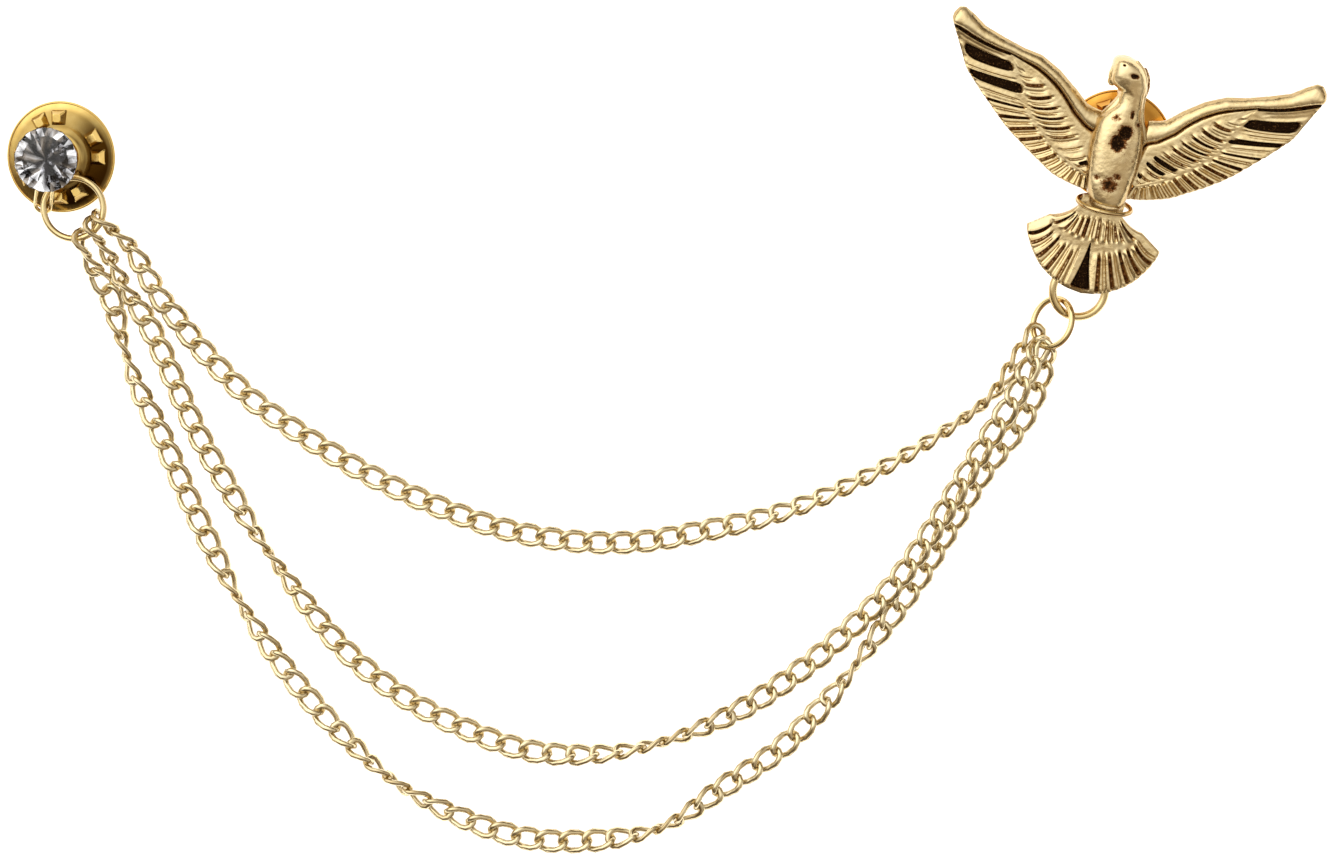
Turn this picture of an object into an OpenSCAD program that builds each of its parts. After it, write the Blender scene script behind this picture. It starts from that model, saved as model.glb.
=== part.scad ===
/* [Bird] */
// Span of the wings from tip to tip
wing_span = 38.8; // [38:0.1:39.4]
// Thickness of the cast wings and tail
plate_t = 1.1; // [1:0.05:1.2]
// Height of the feather ribs above the plate
rib_h = 0.35; // [0.2:0.05:0.4]
// Feathers in the outer row of each wing
outer_feathers = 15; // [8:1:16]
// Feathers in the inner row of each wing
inner_feathers = 11; // [6:1:12]
// Feathers in the outer row of the tail
tail_feathers = 17; // [9:2:19]
// Radius of the waist ring to the middle of its wire
waist_r = 2.75; // [2.7:0.01:2.8]

/* [Posts and clutches] */
// Radius of each post's root, above its clutch
post_r = 0.65; // [0.65:0.05:0.75]
// Radius of each post's needle, in its clutch
needle_r = 0.48; // [0.4:0.02:0.48]
// Radius of the holes that a needle runs in
needle_bore = 0.6; // [0.6:0.05:0.65]
// Radius of a clutch's disc
disc_r = 5.7; // [5.5:0.05:5.8]
// Height of the nubs on the disc
nub_h = 0.75; // [0.4:0.05:0.9]
// Thickness of the stamped sheet
sheet_t = 0.3; // [0.25:0.01:0.35]
// Depth of a clutch below the top of its plate
clutch_d = 4.4; // [4.2:0.05:4.5]
// Distance from the back of the bird down to its clutch's plate
cloth_gap = 2.8; // [2.7:0.05:2.9]

/* [Stud] */
// Radius of the stone at its girdle
stone_r = 3.3; // [3.1:0.05:3.35]
// Height of the cup's foot above the clutch's plate
cup_foot = 2.6; // [2.55:0.01:2.65]

/* [Rings and chains] */
// Radius of the stud's jump ring to the middle of its wire
stud_ring_r = 3.1; // [3.08:0.01:3.12]
// Radius of the chains' jump ring at the bird
chain_ring_r = 2.54; // [2.52:0.01:2.56]
// Radius of the ring behind the tail
tail_ring_r = 2.7; // [2.68:0.01:2.72]
// Radius of a jump ring's wire
ring_wire = 0.3; // [0.25:0.01:0.3]
// Radius of the tail ring's wire
tail_wire = 0.42; // [0.36:0.01:0.42]
// Length of a curb link between the middles of its wire
link_l = 3.12; // [3.08:0.01:3.14]
// Width of a curb link between the middles of its wire
link_w = 1.68; // [1.64:0.01:1.7]
// Radius of a curb link's wire
link_wire = 0.2; // [0.16:0.01:0.2]
// Twist of a curb link from its middle to its end
link_twist = 42; // [40:1:44]

/* [Hidden] */
$fn = 48;
// Moves the middle of the whole onto the origin
centring = [0.153, 0.294, 0];

gold = "#d9c48f";
brass = "#b8862e";
amber = "#c98a1e";

// Feather outlines are drawn for a span of 39.4 and scaled to the wings' span
cast_k = wing_span / 39.4;
bird_turn = -12;
bird_tilt = 10;
// The post stands a little below the middle of the wings
bird_post_v = -0.6;
housing_w = 2.3;
// Lower end of a post's root above its clutch's plate, and height of its solder fillet
root_low = 0.75;
fillet_h = 0.2;
bird_z = (cloth_gap + clutch_d) * cos(bird_tilt) + (housing_w - bird_post_v) * sin(bird_tilt);
bird_at = [46.26, 28.91, bird_z];
stud_turn = -55;
stud_tilt = 11;
stud_z = clutch_d * cos(stud_tilt) + housing_w * sin(stud_tilt);
stud_at = [-61.75, 27.66, stud_z];

// Right wing in u, v: leading edge from the shoulder to the tip, then the trailing edge back
wing_lead = [[1.6, 1.0], [3, 1.9], [4.3, 3.3], [6, 4.8], [8, 6.3], [10, 7], [12, 7.4], [14, 7.95],
             [16, 8.65], [17.6, 9.7], [18.6, 10.2], [19.3, 9.9], [19.7, 9.1]];
wing_trail = [[19.5, 8.3], [18.6, 6.9], [17.8, 5.3], [17, 3.9], [15.6, 2.5], [13.5, 0.5], [11, -1.6],
              [8.5, -3.2], [6, -4.5], [3.8, -5.1], [1.6, -5.2]];
wing_groove = [[2.3, 0.3], [3.7, 0.9], [5, 1.9], [6, 2.9], [7, 4], [8, 4.7], [10, 5.7], [12, 6.4],
               [14, 6.85], [16, 7.4], [17.9, 8.2], [18.9, 8.9]];
wing_middle = [[13.2, 6.2], [12, 5], [11.2, 3.8], [10.6, 2.6], [9.9, 1.5], [9, 0.5], [8, -0.5], [7, -1.3],
               [6, -2.2], [4.7, -2.9], [3.2, -3.5]];
// Right half of the tail in u, v about its own middle line
tail_mid = -0.55;
tail_edge = [[0, -6.2], [1.7, -6.4], [1.8, -6.9], [2.4, -7.3], [3.6, -7.9], [4.6, -8.4], [5.6, -9.1], [6.8, -9.9],
             [7, -10.4], [6.4, -11.7], [5.6, -13], [4.6, -14.1], [3.4, -14.9], [2, -15.6], [0, -15.95]];
tail_low = [for (i = [8 : 14]) tail_edge[i]];
// Body from the waist to the crown: v, middle u, half width, height
body_rows = [[-7.1, -0.35, 1.65, 1.2], [-6.6, -0.35, 1.85, 1.8], [-5.6, -0.3, 2.1, 2.3], [-4, -0.3, 2.35, 2.8],
             [-2, -0.3, 2.6, 3.2], [0, -0.3, 2.65, 3.4], [1.6, -0.25, 2.4, 3.3], [2.9, -0.1, 1.95, 3.1],
             [4.2, 0.05, 1.35, 3], [5.6, 0.1, 1.25, 3], [6.6, -0.2, 1.45, 3.3], [7.6, -0.5, 1.7, 3.5],
             [8.6, -0.7, 1.55, 3.1], [9.35, -0.8, 0.8, 2.1]];
body_sides = 12;
// Beak and nape as rows of balls: u, v, height, radius
beak_balls = [[-1.4, 7.9, 2.2, 1], [-1.8, 7.2, 2.1, 0.85], [-2.1, 6.6, 2, 0.6], [-2.2, 6.2, 1.9, 0.45]];
nape_balls = [[0.7, 8.1, 2.2, 0.7], [1.3, 7, 2.1, 0.5], [1.45, 5.4, 2, 0.45], [1.6, 3.8, 1.9, 0.45],
              [2.1, 2.2, 1.6, 0.45]];

// Rings: middle, then the two directions that the ring lies along
stud_ring_at = [-60.2, 22.4, 5.5];
stud_ring_a = unit([1, 0, 0.1]);
stud_ring_b = unit([0.009, 1, 0.09]);
chain_ring_at = [39.85, 10.8, 2.25];
chain_ring_a = axis_at(11, -6);
chain_ring_b = square_to([cos(11) * cos(45), -sin(11) * cos(45), sin(45)], chain_ring_a);
tail_ring_at = [42.5, 14.05, 3.05];
tail_ring_a = axis_at(102, -6);
tail_ring_b = square_to([sin(12) * cos(12), cos(12) * cos(12), sin(12)], tail_ring_a);
lug_wire = 0.3;
lug_r = 0.86;
lug_at = tail_ring_at + tail_ring_r * tail_ring_b;
lug_leg = 2.1;

// Stone's girdle above the clutch's plate, its depth below that, and the air under it
girdle_at = cup_foot + 2.1;
pavilion_h = 1.45;
culet_r = 0.3;
seat_gap = 0.08;

// Wire eye under the stone: middle of its bend, across it, and up along its legs
eye_at = [-63.4, 22.65, 5];
eye_across = unit([0.967, -0.256, 0]);
eye_up = unit([0.181, 0.684, 0.707]);
eye_r = 0.8;
eye_wire = 0.2;
eye_leg = 3.7;

// Chain routes on the surface: x, y, height, roll of the links
short_route = [[-57, 20.9, 5.5, 85], [-54.9, 18.9, 4.6, 65], [-53.4, 16.6, 4.1, 30], [-51.8, 13.6, 2.9, 25],
               [-50.2, 11.5, 2, 10], [-47.4, 7.9, 0.8, 0], [-42.5, 3, 0.65, 0], [-36.6, -1.1, 0.65, 0],
               [-30.2, -4.9, 0.65, 0], [-23.7, -7.9, 0.65, 0], [-16.9, -10.3, 0.65, 0],
               [-9.8, -11.6, 0.65, 0], [-2.6, -11.7, 0.65, 0], [4.5, -10.5, 0.75, -15],
               [11.9, -8.7, 1, -45], [18.7, -6, 1.1, -60], [25.5, -2.4, 1.15, -70], [31.5, 1.5, 1.2, -90],
               [34.1, 3.8, 1.3, -105], [35.8, 6.2, 1.1, -130], [37.8, 9.2, 1, -140]];
middle_route = [[-58.1, 20, 5.5, 95], [-56.7, 17.4, 4, 60], [-55.2, 14.3, 2.8, 65], [-53.2, 11, 1.3, 5],
                [-51.4, 7.2, 0.75, 0], [-48.2, -0.1, 0.65, 0], [-44.6, -6.5, 0.75, -20],
                [-41.7, -11.2, 1.1, -75], [-37.3, -17.5, 1.1, -145], [-32.6, -23.1, 0.7, -180],
                [-26.9, -27.6, 0.65, -180], [-20.6, -30.9, 0.65, -180], [-13.9, -33.2, 0.7, -190],
                [-6.6, -33.5, 1, -230], [0.4, -32.1, 1.15, -280], [7.1, -29.4, 0.9, -335],
                [13.3, -25.5, 0.7, -360], [19, -20.8, 0.9, -360], [24, -15.6, 1.85, -360],
                [28.3, -9.3, 2.2, -360], [31.1, -4.6, 2.2, -380], [33.7, -0.5, 2.4, -370],
                [35.7, 2.7, 2.9, -370], [37, 5.3, 2.7, -365], [38.4, 8, 2, -360]];
long_route = [[-59.4, 18.8, 4.85, 100], [-58.6, 16.8, 3.4, 55], [-57.3, 14.3, 1.5, 0], [-56.7, 13, 1.35, -10],
              [-54.7, 5.6, 1.3, -125], [-51.8, -0.6, 0.75, -170], [-48.9, -7.3, 0.65, -180],
              [-45.8, -13.7, 0.95, -215], [-42.2, -20.2, 1.05, -310], [-37.9, -26.2, 0.75, -355],
              [-33.3, -31.3, 0.95, -395], [-27.6, -36.4, 1.1, -455], [-21.3, -39.9, 0.85, -515],
              [-14.2, -42.2, 0.65, -540], [-6.9, -42.4, 0.85, -560], [0.1, -40.9, 1.15, -640],
              [6.1, -37, 0.8, -705], [12.1, -32.9, 0.7, -720], [17, -27.8, 1.1, -755],
              [21.5, -22, 1, -860], [25.7, -16.2, 0.75, -890], [29.4, -10.2, 0.65, -890],
              [32.9, -4.4, 1.05, -890], [36.9, 0.8, 0.7, -890], [38.8, 5.4, 1, -895],
              [39.1, 7.6, 1.9, -905]];
link_pitch = 2.45;
link_steps = 10;
wire_sides = 5;
tube_r = 0.5;
tube_sides = 8;
tube_step = 2.8;
tube_short = 0.9;

function unit(a) = a / norm(a);
function square_to(a, b) = unit(a - b * (a * b));
// Direction at a heading from +Y towards +X and a rise above the surface
function axis_at(heading, rise) = [sin(heading) * cos(rise), cos(heading) * cos(rise), sin(rise)];
function mirrored(pts) = [for (p = pts) [-p.x, p.y]];
function backward(pts) = [for (i = [len(pts) - 1 : -1 : 0]) pts[i]];
// Point at a fraction of a broken line, each leg counting the same
function along(pts, f) =
    let (s = f * (len(pts) - 1), i = min(floor(s), len(pts) - 2))
    pts[i] + (pts[i + 1] - pts[i]) * (s - i);

// Smooth curve through a route's rows
function spline(a, b, c, d, t) =
    0.5 * (2 * b + (c - a) * t + (2 * a - 5 * b + 4 * c - d) * t * t
           + (3 * b - a - 3 * c + d) * t * t * t);
function curve(rows, steps = 16) =
    let (n = len(rows), q = concat([2 * rows[0] - rows[1]], rows, [2 * rows[n - 1] - rows[n - 2]]))
    concat([for (i = [1 : n - 1], j = [0 : steps - 1]) spline(q[i - 1], q[i], q[i + 1], q[i + 2], j / steps)],
           [rows[n - 1]]);
function place(p) = [p[0], p[1], p[2]];
// Length of a curve up to each of its points
function lengths(pts) =
    [for (i = 0, s = 0; i < len(pts); i = i + 1,
          s = s + (i < len(pts) ? norm(place(pts[i]) - place(pts[i - 1])) : 0)) s];
function tables(pts, run) = [for (k = [0 : 3]) [for (i = [0 : len(pts) - 1]) [run[i], pts[i][k]]]];
function row_at(tab, s) = [for (k = [0 : 3]) lookup(s, tab[k])];
// Frame of the route at a length: middle, along, across and up
function frame_at(tab, s, reach = 0.6) =
    let (m = row_at(tab, s),
         t = unit(place(row_at(tab, s + reach)) - place(row_at(tab, s - reach))),
         side = unit([-t.y, t.x, 0]),
         y = cos(m[3]) * side + sin(m[3]) * cross(t, side))
    [place(m), t, y, cross(t, y)];
// Triangles between rings of points, either closed round or with flat ends
function skin(rings, sides, closed) =
    [for (i = [0 : rings - (closed ? 1 : 2)], j = [0 : sides - 1])
        let (a = i * sides + j, b = i * sides + (j + 1) % sides,
             c = ((i + 1) % rings) * sides + j, d = ((i + 1) % rings) * sides + (j + 1) % sides)
        each [[a, c, b], [b, c, d]]];
function ends(rings, sides) =
    [[for (j = [0 : sides - 1]) j],
     [for (j = [sides - 1 : -1 : 0]) (rings - 1) * sides + j]];

module placed(at, x, y, z) {
    multmatrix([[x.x, y.x, z.x, at.x], [x.y, y.y, z.y, at.y], [x.z, y.z, z.z, at.z]]) children();
}

module bird_frame() {
    translate(centring + bird_at) rotate([bird_tilt, 0, bird_turn]) children();
}

// Plate of the bird's clutch, with its post's axis up
module bird_post_frame() {
    bird_frame() translate([0, bird_post_v, -cloth_gap]) children();
}

module stud_frame() {
    translate(centring + stud_at) rotate([stud_tilt, 0, stud_turn]) children();
}

// Torus about a point, lying along two directions
module wire_ring(at, a, b, r, wire) {
    placed(centring + at, a, b, cross(a, b)) rotate_extrude() translate([r, 0]) circle(wire, $fn = 24);
}

// One feather rib between two points of the plate
module rib(p, q, w) {
    hull() {
        translate([p.x, p.y, plate_t - 0.2]) cylinder(h = rib_h + 0.25, r1 = w, r2 = 0, $fn = 4);
        translate([q.x, q.y, plate_t - 0.2]) cylinder(h = rib_h + 0.15, r1 = w, r2 = 0, $fn = 4);
    }
}

// Rounded roll along a row of balls
module roll(balls) {
    for (i = [0 : len(balls) - 2]) {
        hull() {
            translate([balls[i].x, balls[i].y, balls[i].z]) sphere(balls[i][3], $fn = 6);
            translate([balls[i + 1].x, balls[i + 1].y, balls[i + 1].z]) sphere(balls[i + 1][3], $fn = 6);
        }
    }
}

module wing() {
    linear_extrude(plate_t) polygon(concat(wing_lead, wing_trail));
    // Roll between the leading edge and the groove
    for (i = [2 : len(wing_groove) - 2]) {
        p = along(wing_groove, i / (len(wing_groove) - 1));
        q = along(wing_groove, (i + 1) / (len(wing_groove) - 1));
        hull() {
            translate([p.x, p.y + 0.55, plate_t - 0.1]) sphere(0.55, $fn = 6);
            translate([q.x - 0.1, q.y + 0.55, plate_t - 0.1]) sphere(0.55, $fn = 6);
        }
    }
    // Outer row
    for (k = [0 : outer_feathers - 1]) {
        f = (k + 0.5) / outer_feathers;
        p = along(wing_middle, f);
        q = along(wing_trail, 0.1 + 0.82 * f);
        rib(p + (q - p) * 0.08, q + (p - q) * 0.06, 0.3);
    }
    // Inner row, from the groove's foot and the body's side out to the outer row
    for (k = [0 : inner_feathers - 1]) {
        f = (k + 0.5) / inner_feathers;
        q = along(wing_middle, 0.05 + 0.92 * f);
        p = [1 + 8 * (1 - f) * (1 - f), q.y - 0.6 - 1.2 * (1 - f)];
        rib(p + (q - p) * 0.25, q, 0.3);
    }
}

// Body with a flat back: each row is half an ellipse
module body() {
    pts = [for (r = body_rows, j = [0 : body_sides - 1])
              let (a = 180 * j / (body_sides - 1)) [r[1] - r[2] * cos(a), r[0], r[3] * sin(a)]];
    n = len(body_rows);
    polyhedron(pts, concat(skin(n, body_sides, false), ends(n, body_sides)));
}

module tail() {
    half = mirrored(tail_edge);
    translate([tail_mid, 0, 0]) {
        linear_extrude(plate_t) polygon(concat(tail_edge, backward(half)));
        // Outer row, fanned from the arc out to the lower edge
        for (k = [0 : tail_feathers - 1]) {
            f = (k + 0.5) / tail_feathers * 2 - 1;
            e = along(tail_low, 1 - abs(f));
            q = [sign(f) * e.x, e.y];
            p = [4.7 * f, -10.7 + f * f];
            rib(p + (q - p) * 0.05, q + (p - q) * 0.08, 0.26);
        }
        // Inner row
        for (k = [0 : 10]) {
            f = (k - 5) / 5.6;
            rib([1.9 * f, -7.7], [4.2 * f, -10.2 + f * f], 0.24);
        }
    }
}

// Staple round the tail ring, with its legs let into the back of the tail
module tail_lug() {
    translate(centring + lug_at) rotate([bird_tilt, 0, bird_turn]) {
        rotate([90, 0, 90]) rotate_extrude(angle = 180, start = 180, $fn = 24)
            translate([lug_r, 0]) circle(lug_wire, $fn = 12);
        for (s = [-1, 1]) {
            translate([0, s * lug_r, 0]) cylinder(h = lug_leg, r = lug_wire, $fn = 12);
        }
    }
}

module bird() {
    color(gold) {
        bird_frame() scale([cast_k, cast_k, 1]) {
            wing();
            mirror([1, 0, 0]) wing();
            body();
            roll(beak_balls);
            roll(nape_balls);
            tail();
        }
        tail_lug();
    }
}

// Post under a foot: solder fillet, thicker root for the cloth and slim needle for the clutch
module post(foot) {
    translate([0, 0, foot - fillet_h]) cylinder(h = fillet_h + 0.02, r1 = post_r, r2 = post_r + 0.25);
    translate([0, 0, root_low]) cylinder(h = foot - fillet_h - root_low, r = post_r);
    translate([0, 0, -clutch_d + 0.1]) cylinder(h = clutch_d + root_low - 0.05, r = needle_r);
}

module bird_pin() {
    color(brass) bird_post_frame() {
        translate([0, 0, cloth_gap - 0.42]) cylinder(h = 0.4, r = 2.5);
        post(cloth_gap - 0.42);
    }
}

module waist_ring() {
    // The ring leans back a little from the front of the waist to behind the body
    color(brass) bird_frame() translate([-0.2, -6.4, 0.72]) rotate([100, 0, 0])
        rotate_extrude() translate([waist_r, 0]) circle(0.25, $fn = 24);
}

module tail_ring() {
    color(brass) wire_ring(tail_ring_at, tail_ring_a, tail_ring_b, tail_ring_r, tail_wire);
}

module chain_ring() {
    color(brass) wire_ring(chain_ring_at, chain_ring_a, chain_ring_b, chain_ring_r, ring_wire);
}

module stud_ring() {
    color(brass) wire_ring(stud_ring_at, stud_ring_a, square_to(stud_ring_b, stud_ring_a), stud_ring_r,
                           ring_wire);
}

// Middle of a link's wire: a squared oval, twisted along its length
function link_mid(i) =
    let (t = 360 * i / link_steps, c = cos(t), s = sin(t),
         x = link_l / 2 * sign(c) * pow(abs(c), 0.8),
         y = link_w / 2 * sign(s) * pow(abs(s), 0.8),
         a = link_twist * x / (link_l / 2))
    [x, y * cos(a), y * sin(a)];
link_points = [for (i = [0 : link_steps - 1])
    let (m = link_mid(i), t = unit(link_mid(i + 1) - link_mid(i - 1)),
         up = square_to([0, -sin(link_twist * m.x / (link_l / 2)), cos(link_twist * m.x / (link_l / 2))], t),
         out = cross(t, up))
    for (j = [0 : wire_sides - 1])
        m + link_wire * (cos(360 * j / wire_sides) * out + sin(360 * j / wire_sides) * up)];

module curb_link() {
    polyhedron(link_points, skin(link_steps, wire_sides, true));
}

// Links at equal steps along a route
module curb_chain(rows) {
    pts = curve(rows);
    run = lengths(pts);
    tab = tables(pts, run);
    total = run[len(run) - 1];
    count = round(total / link_pitch) + 1;
    for (k = [0 : count - 1]) {
        f = frame_at(tab, total * k / (count - 1));
        placed(centring + f[0], f[1], f[2], f[3]) curb_link();
    }
}

module chain_short() {
    color(gold) curb_chain(short_route);
}

module chain_middle() {
    color(gold) curb_chain(middle_route);
}

// The long chain as one round tube along its route
module chain_long() {
    pts = curve(long_route);
    run = lengths(pts);
    tab = tables(pts, run);
    // The tube stops short of the last link's middle, clear of the middle chain's last link
    total = run[len(run) - 1] - tube_short;
    count = round(total / tube_step) + 1;
    skin_points = [for (k = [0 : count - 1])
        let (f = frame_at(tab, total * k / (count - 1)),
             side = unit([-f[1].y, f[1].x, 0]), up = cross(f[1], side),
             low = max(0, tube_r + 0.02 - f[0].z))
        for (j = [0 : tube_sides - 1])
            let (a = 360 * (j + 0.5) / tube_sides)
            centring + f[0] + [0, 0, low] + tube_r * (cos(a) * side + sin(a) * up)];
    color(gold) polyhedron(skin_points, concat(skin(count, tube_sides, false), ends(count, tube_sides)));
}

// The stone's own cone, let down a little into the cup
module stone_seat() {
    translate([0, 0, girdle_at - pavilion_h - seat_gap]) cylinder(h = pavilion_h, r1 = culet_r, r2 = stone_r);
}

// Cup with its post below and its wire eye at the side
module stud_setting() {
    color(brass) {
        stud_frame() {
            difference() {
                union() {
                    translate([0, 0, cup_foot]) cylinder(h = 0.3, r = 2.2);
                    translate([0, 0, cup_foot + 0.3]) cylinder(h = 1.5, r1 = 2.2, r2 = stone_r - 0.3);
                }
                stone_seat();
            }
            post(cup_foot);
        }
        placed(centring + eye_at, eye_across, eye_up, cross(eye_across, eye_up)) {
            rotate_extrude(angle = 180, start = 180) translate([eye_r, 0]) circle(eye_wire, $fn = 24);
            for (s = [-1, 1]) {
                translate([s * eye_r, 0, 0]) rotate([-90, 0, 0]) cylinder(h = eye_leg, r = eye_wire, $fn = 24);
            }
        }
    }
}

// Cut stone: table, crown, girdle and pavilion with twelve sides
module stone() {
    low = girdle_at - pavilion_h;
    color("#c8ccd2") stud_frame() rotate_extrude($fn = 12)
        polygon([[0, low], [culet_r, low], [stone_r, girdle_at], [stone_r, girdle_at + 0.2],
                 [stone_r * 0.58, girdle_at + 1], [0, girdle_at + 1]]);
}

// Stamped disc with its rolled rim, boss and nubs, and the folded housing below
module clutch_disc(nub_turn) {
    difference() {
        union() {
            translate([0, 0, -sheet_t]) cylinder(h = sheet_t, r = disc_r - 0.35);
            rotate_extrude() translate([disc_r - 0.35, -0.05]) circle(0.35, $fn = 24);
            translate([0, 0, -0.1]) cylinder(h = 0.55, r1 = 2.7, r2 = 2.3);
            for (q = [0 : 3], s = [-1, 1]) {
                rotate([0, 0, nub_turn + 90 * q + 14 * s]) translate([4, 0, -0.05]) rotate([0, 0, 45])
                    cylinder(h = nub_h, r1 = 1.1, r2 = 0.2, $fn = 4);
            }
            translate([-2.3, -housing_w, -clutch_d]) cube([4.6, 2 * housing_w, clutch_d - 0.1]);
        }
        translate([-3, -housing_w + sheet_t, -clutch_d + sheet_t])
            cube([6, 2 * (housing_w - sheet_t), clutch_d - 2 * sheet_t]);
        translate([0, 0, -clutch_d - 1]) cylinder(h = clutch_d + 3, r = needle_bore);
    }
}

// Strip bent into two finger loops, drilled for the post
module clutch_spring() {
    loop_r = (clutch_d - 2 * sheet_t) / 2 - 0.1;
    width = 2 * (housing_w - sheet_t) - 0.3;
    difference() {
        translate([0, width / 2, -clutch_d / 2]) rotate([90, 0, 0]) linear_extrude(width) {
            difference() {
                union() {
                    translate([-2.9, -loop_r]) square([5.8, 2 * loop_r]);
                    for (s = [-1, 1]) {
                        translate([s * 2.9, 0]) circle(loop_r);
                    }
                }
                for (s = [-1, 1]) {
                    translate([s * 2.9, 0]) circle(loop_r - sheet_t);
                    translate([s * 1.95 - 0.95, -loop_r + sheet_t]) square([1.9, 2 * (loop_r - sheet_t)]);
                }
            }
        }
        translate([0, 0, -clutch_d - 1]) cylinder(h = clutch_d + 2, r = needle_bore);
    }
}

module bird_clutch_disc() {
    color(amber) bird_post_frame() clutch_disc(15);
}

module bird_clutch_spring() {
    color(amber) bird_post_frame() clutch_spring();
}

module stud_clutch_disc() {
    color(brass) stud_frame() clutch_disc(69);
}

module stud_clutch_spring() {
    color(brass) stud_frame() clutch_spring();
}

bird();
bird_pin();
waist_ring();
tail_ring();
chain_ring();
chain_short();
chain_middle();
chain_long();
stud_ring();
stud_setting();
stone();
bird_clutch_disc();
bird_clutch_spring();
stud_clutch_disc();
stud_clutch_spring();
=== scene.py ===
from math import cos, pi, radians, sin

import bmesh
import bpy
import numpy as np
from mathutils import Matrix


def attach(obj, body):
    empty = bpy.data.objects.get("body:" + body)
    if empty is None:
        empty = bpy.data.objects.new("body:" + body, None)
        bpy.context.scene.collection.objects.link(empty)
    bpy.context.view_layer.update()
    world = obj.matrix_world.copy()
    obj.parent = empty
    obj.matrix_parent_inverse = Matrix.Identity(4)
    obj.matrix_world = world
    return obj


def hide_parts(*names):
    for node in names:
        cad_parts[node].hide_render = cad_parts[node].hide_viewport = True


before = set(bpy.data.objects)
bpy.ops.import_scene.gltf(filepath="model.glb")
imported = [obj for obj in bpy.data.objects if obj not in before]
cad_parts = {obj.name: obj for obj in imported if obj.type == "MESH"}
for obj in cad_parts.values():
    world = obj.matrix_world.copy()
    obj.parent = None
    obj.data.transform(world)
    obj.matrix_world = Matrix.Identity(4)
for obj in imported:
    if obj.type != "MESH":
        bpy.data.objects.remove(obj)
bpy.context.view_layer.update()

# Camera: it looks straight down at the brooch from half a metre, as a copy stand does, with a long
# lens that takes in 136.9 mm of the surface across the frame.
camera_height = 0.5
frame_width = 0.1369
frame_middle = (0.000153, 0.000294)
film_millimetres = 36

lens = bpy.data.cameras.new("copy_stand_camera")
lens.sensor_width = film_millimetres
lens.lens = film_millimetres * camera_height / frame_width
lens.clip_start = 0.01
camera = bpy.data.objects.new("copy_stand_camera", lens)
camera.location = (*frame_middle, camera_height)
bpy.context.collection.objects.link(camera)
bpy.context.scene.camera = camera


# Surface and light: the brooch lies on a white card in a light tent. The tent is brightest overhead
# and beyond the stud, has two weaker panels beyond the bird, and is dark low down all round.
def linear(code):
    """Linear red, green, blue and alpha of an sRGB hex colour."""
    part = np.array([int(code[k:k + 2], 16) for k in (1, 3, 5)]) / 255
    return (*np.where(part < 0.04045, part / 12.92, ((part + 0.055) / 1.055) ** 2.4), 1)


def add(tree, kind, feeds=None, **settings):
    """Adds a node with its settings; feeds gives each socket a value, or the socket that feeds it."""
    node = tree.nodes.new(kind)
    for name, value in settings.items():
        setattr(node, name, value)
    for socket, value in (feeds or {}).items():
        if isinstance(value, bpy.types.NodeSocket):
            tree.links.new(value, node.inputs[socket])
        else:
            node.inputs[socket].default_value = value
    return node


def finish_named(name, **values):
    """A new material and its surface shader, with constants set on the shader's own sockets."""
    finish = bpy.data.materials.new(name)
    finish.use_nodes = True
    shader = finish.node_tree.nodes["Principled BSDF"]
    for socket, value in values.items():
        shader.inputs[socket.replace("_", " ")].default_value = value
    return finish, finish.node_tree, shader


# Each panel: the way it lies from the brooch, the cosines of its outer and inner edge, and its light
tent_panels = [((-0.3, 0.45, 0.84), 0.46, 0.92, 1.05),
               ((-0.75, 0.55, 0.4), 0.45, 0.9, 0.8),
               ((0.8, 0.1, 0.55), 0.85, 0.97, 0.5),
               ((0.5, -0.5, 0.7), 0.7, 0.97, 0.33)]
room_light = 0.18

world = bpy.data.worlds.new("light_tent")
bpy.context.scene.world = world
world.use_nodes = True
tree = world.node_tree
tree.nodes.clear()
way = add(tree, "ShaderNodeTexCoord").outputs["Generated"]
light = add(tree, "ShaderNodeValue").outputs[0]
light.default_value = room_light
for toward, outer, inner, strength in tent_panels:
    unit = np.array(toward) / np.linalg.norm(toward)
    near = add(tree, "ShaderNodeVectorMath", {0: way, 1: tuple(unit)},
               operation="DOT_PRODUCT").outputs["Value"]
    panel = add(tree, "ShaderNodeMapRange", {"Value": near, "From Min": outer, "From Max": inner},
                interpolation_type="SMOOTHSTEP").outputs[0]
    light = add(tree, "ShaderNodeMath", {0: panel, 1: strength, 2: light},
                operation="MULTIPLY_ADD").outputs[0]
# The tent's dark foot: full light from 22 degrees up
upward = add(tree, "ShaderNodeSeparateXYZ", {0: way}).outputs["Z"]
foot = add(tree, "ShaderNodeMapRange", {"Value": upward, "From Min": 0.05, "From Max": 0.38,
                                        "To Min": 0.12}, interpolation_type="SMOOTHSTEP").outputs[0]
light = add(tree, "ShaderNodeMath", {0: light, 1: foot}, operation="MULTIPLY").outputs[0]
# The panels are white, and what lies between them is warmer
tint = add(tree, "ShaderNodeMix", {"Factor": light, 6: linear("#ffddb0"), 7: linear("#fffdf6")},
           data_type="RGBA").outputs[2]
sky = add(tree, "ShaderNodeBackground", {"Strength": light, "Color": tint})
tree.links.new(sky.outputs[0], add(tree, "ShaderNodeOutputWorld").inputs["Surface"])
bpy.context.scene.view_settings.view_transform = "Standard"

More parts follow.
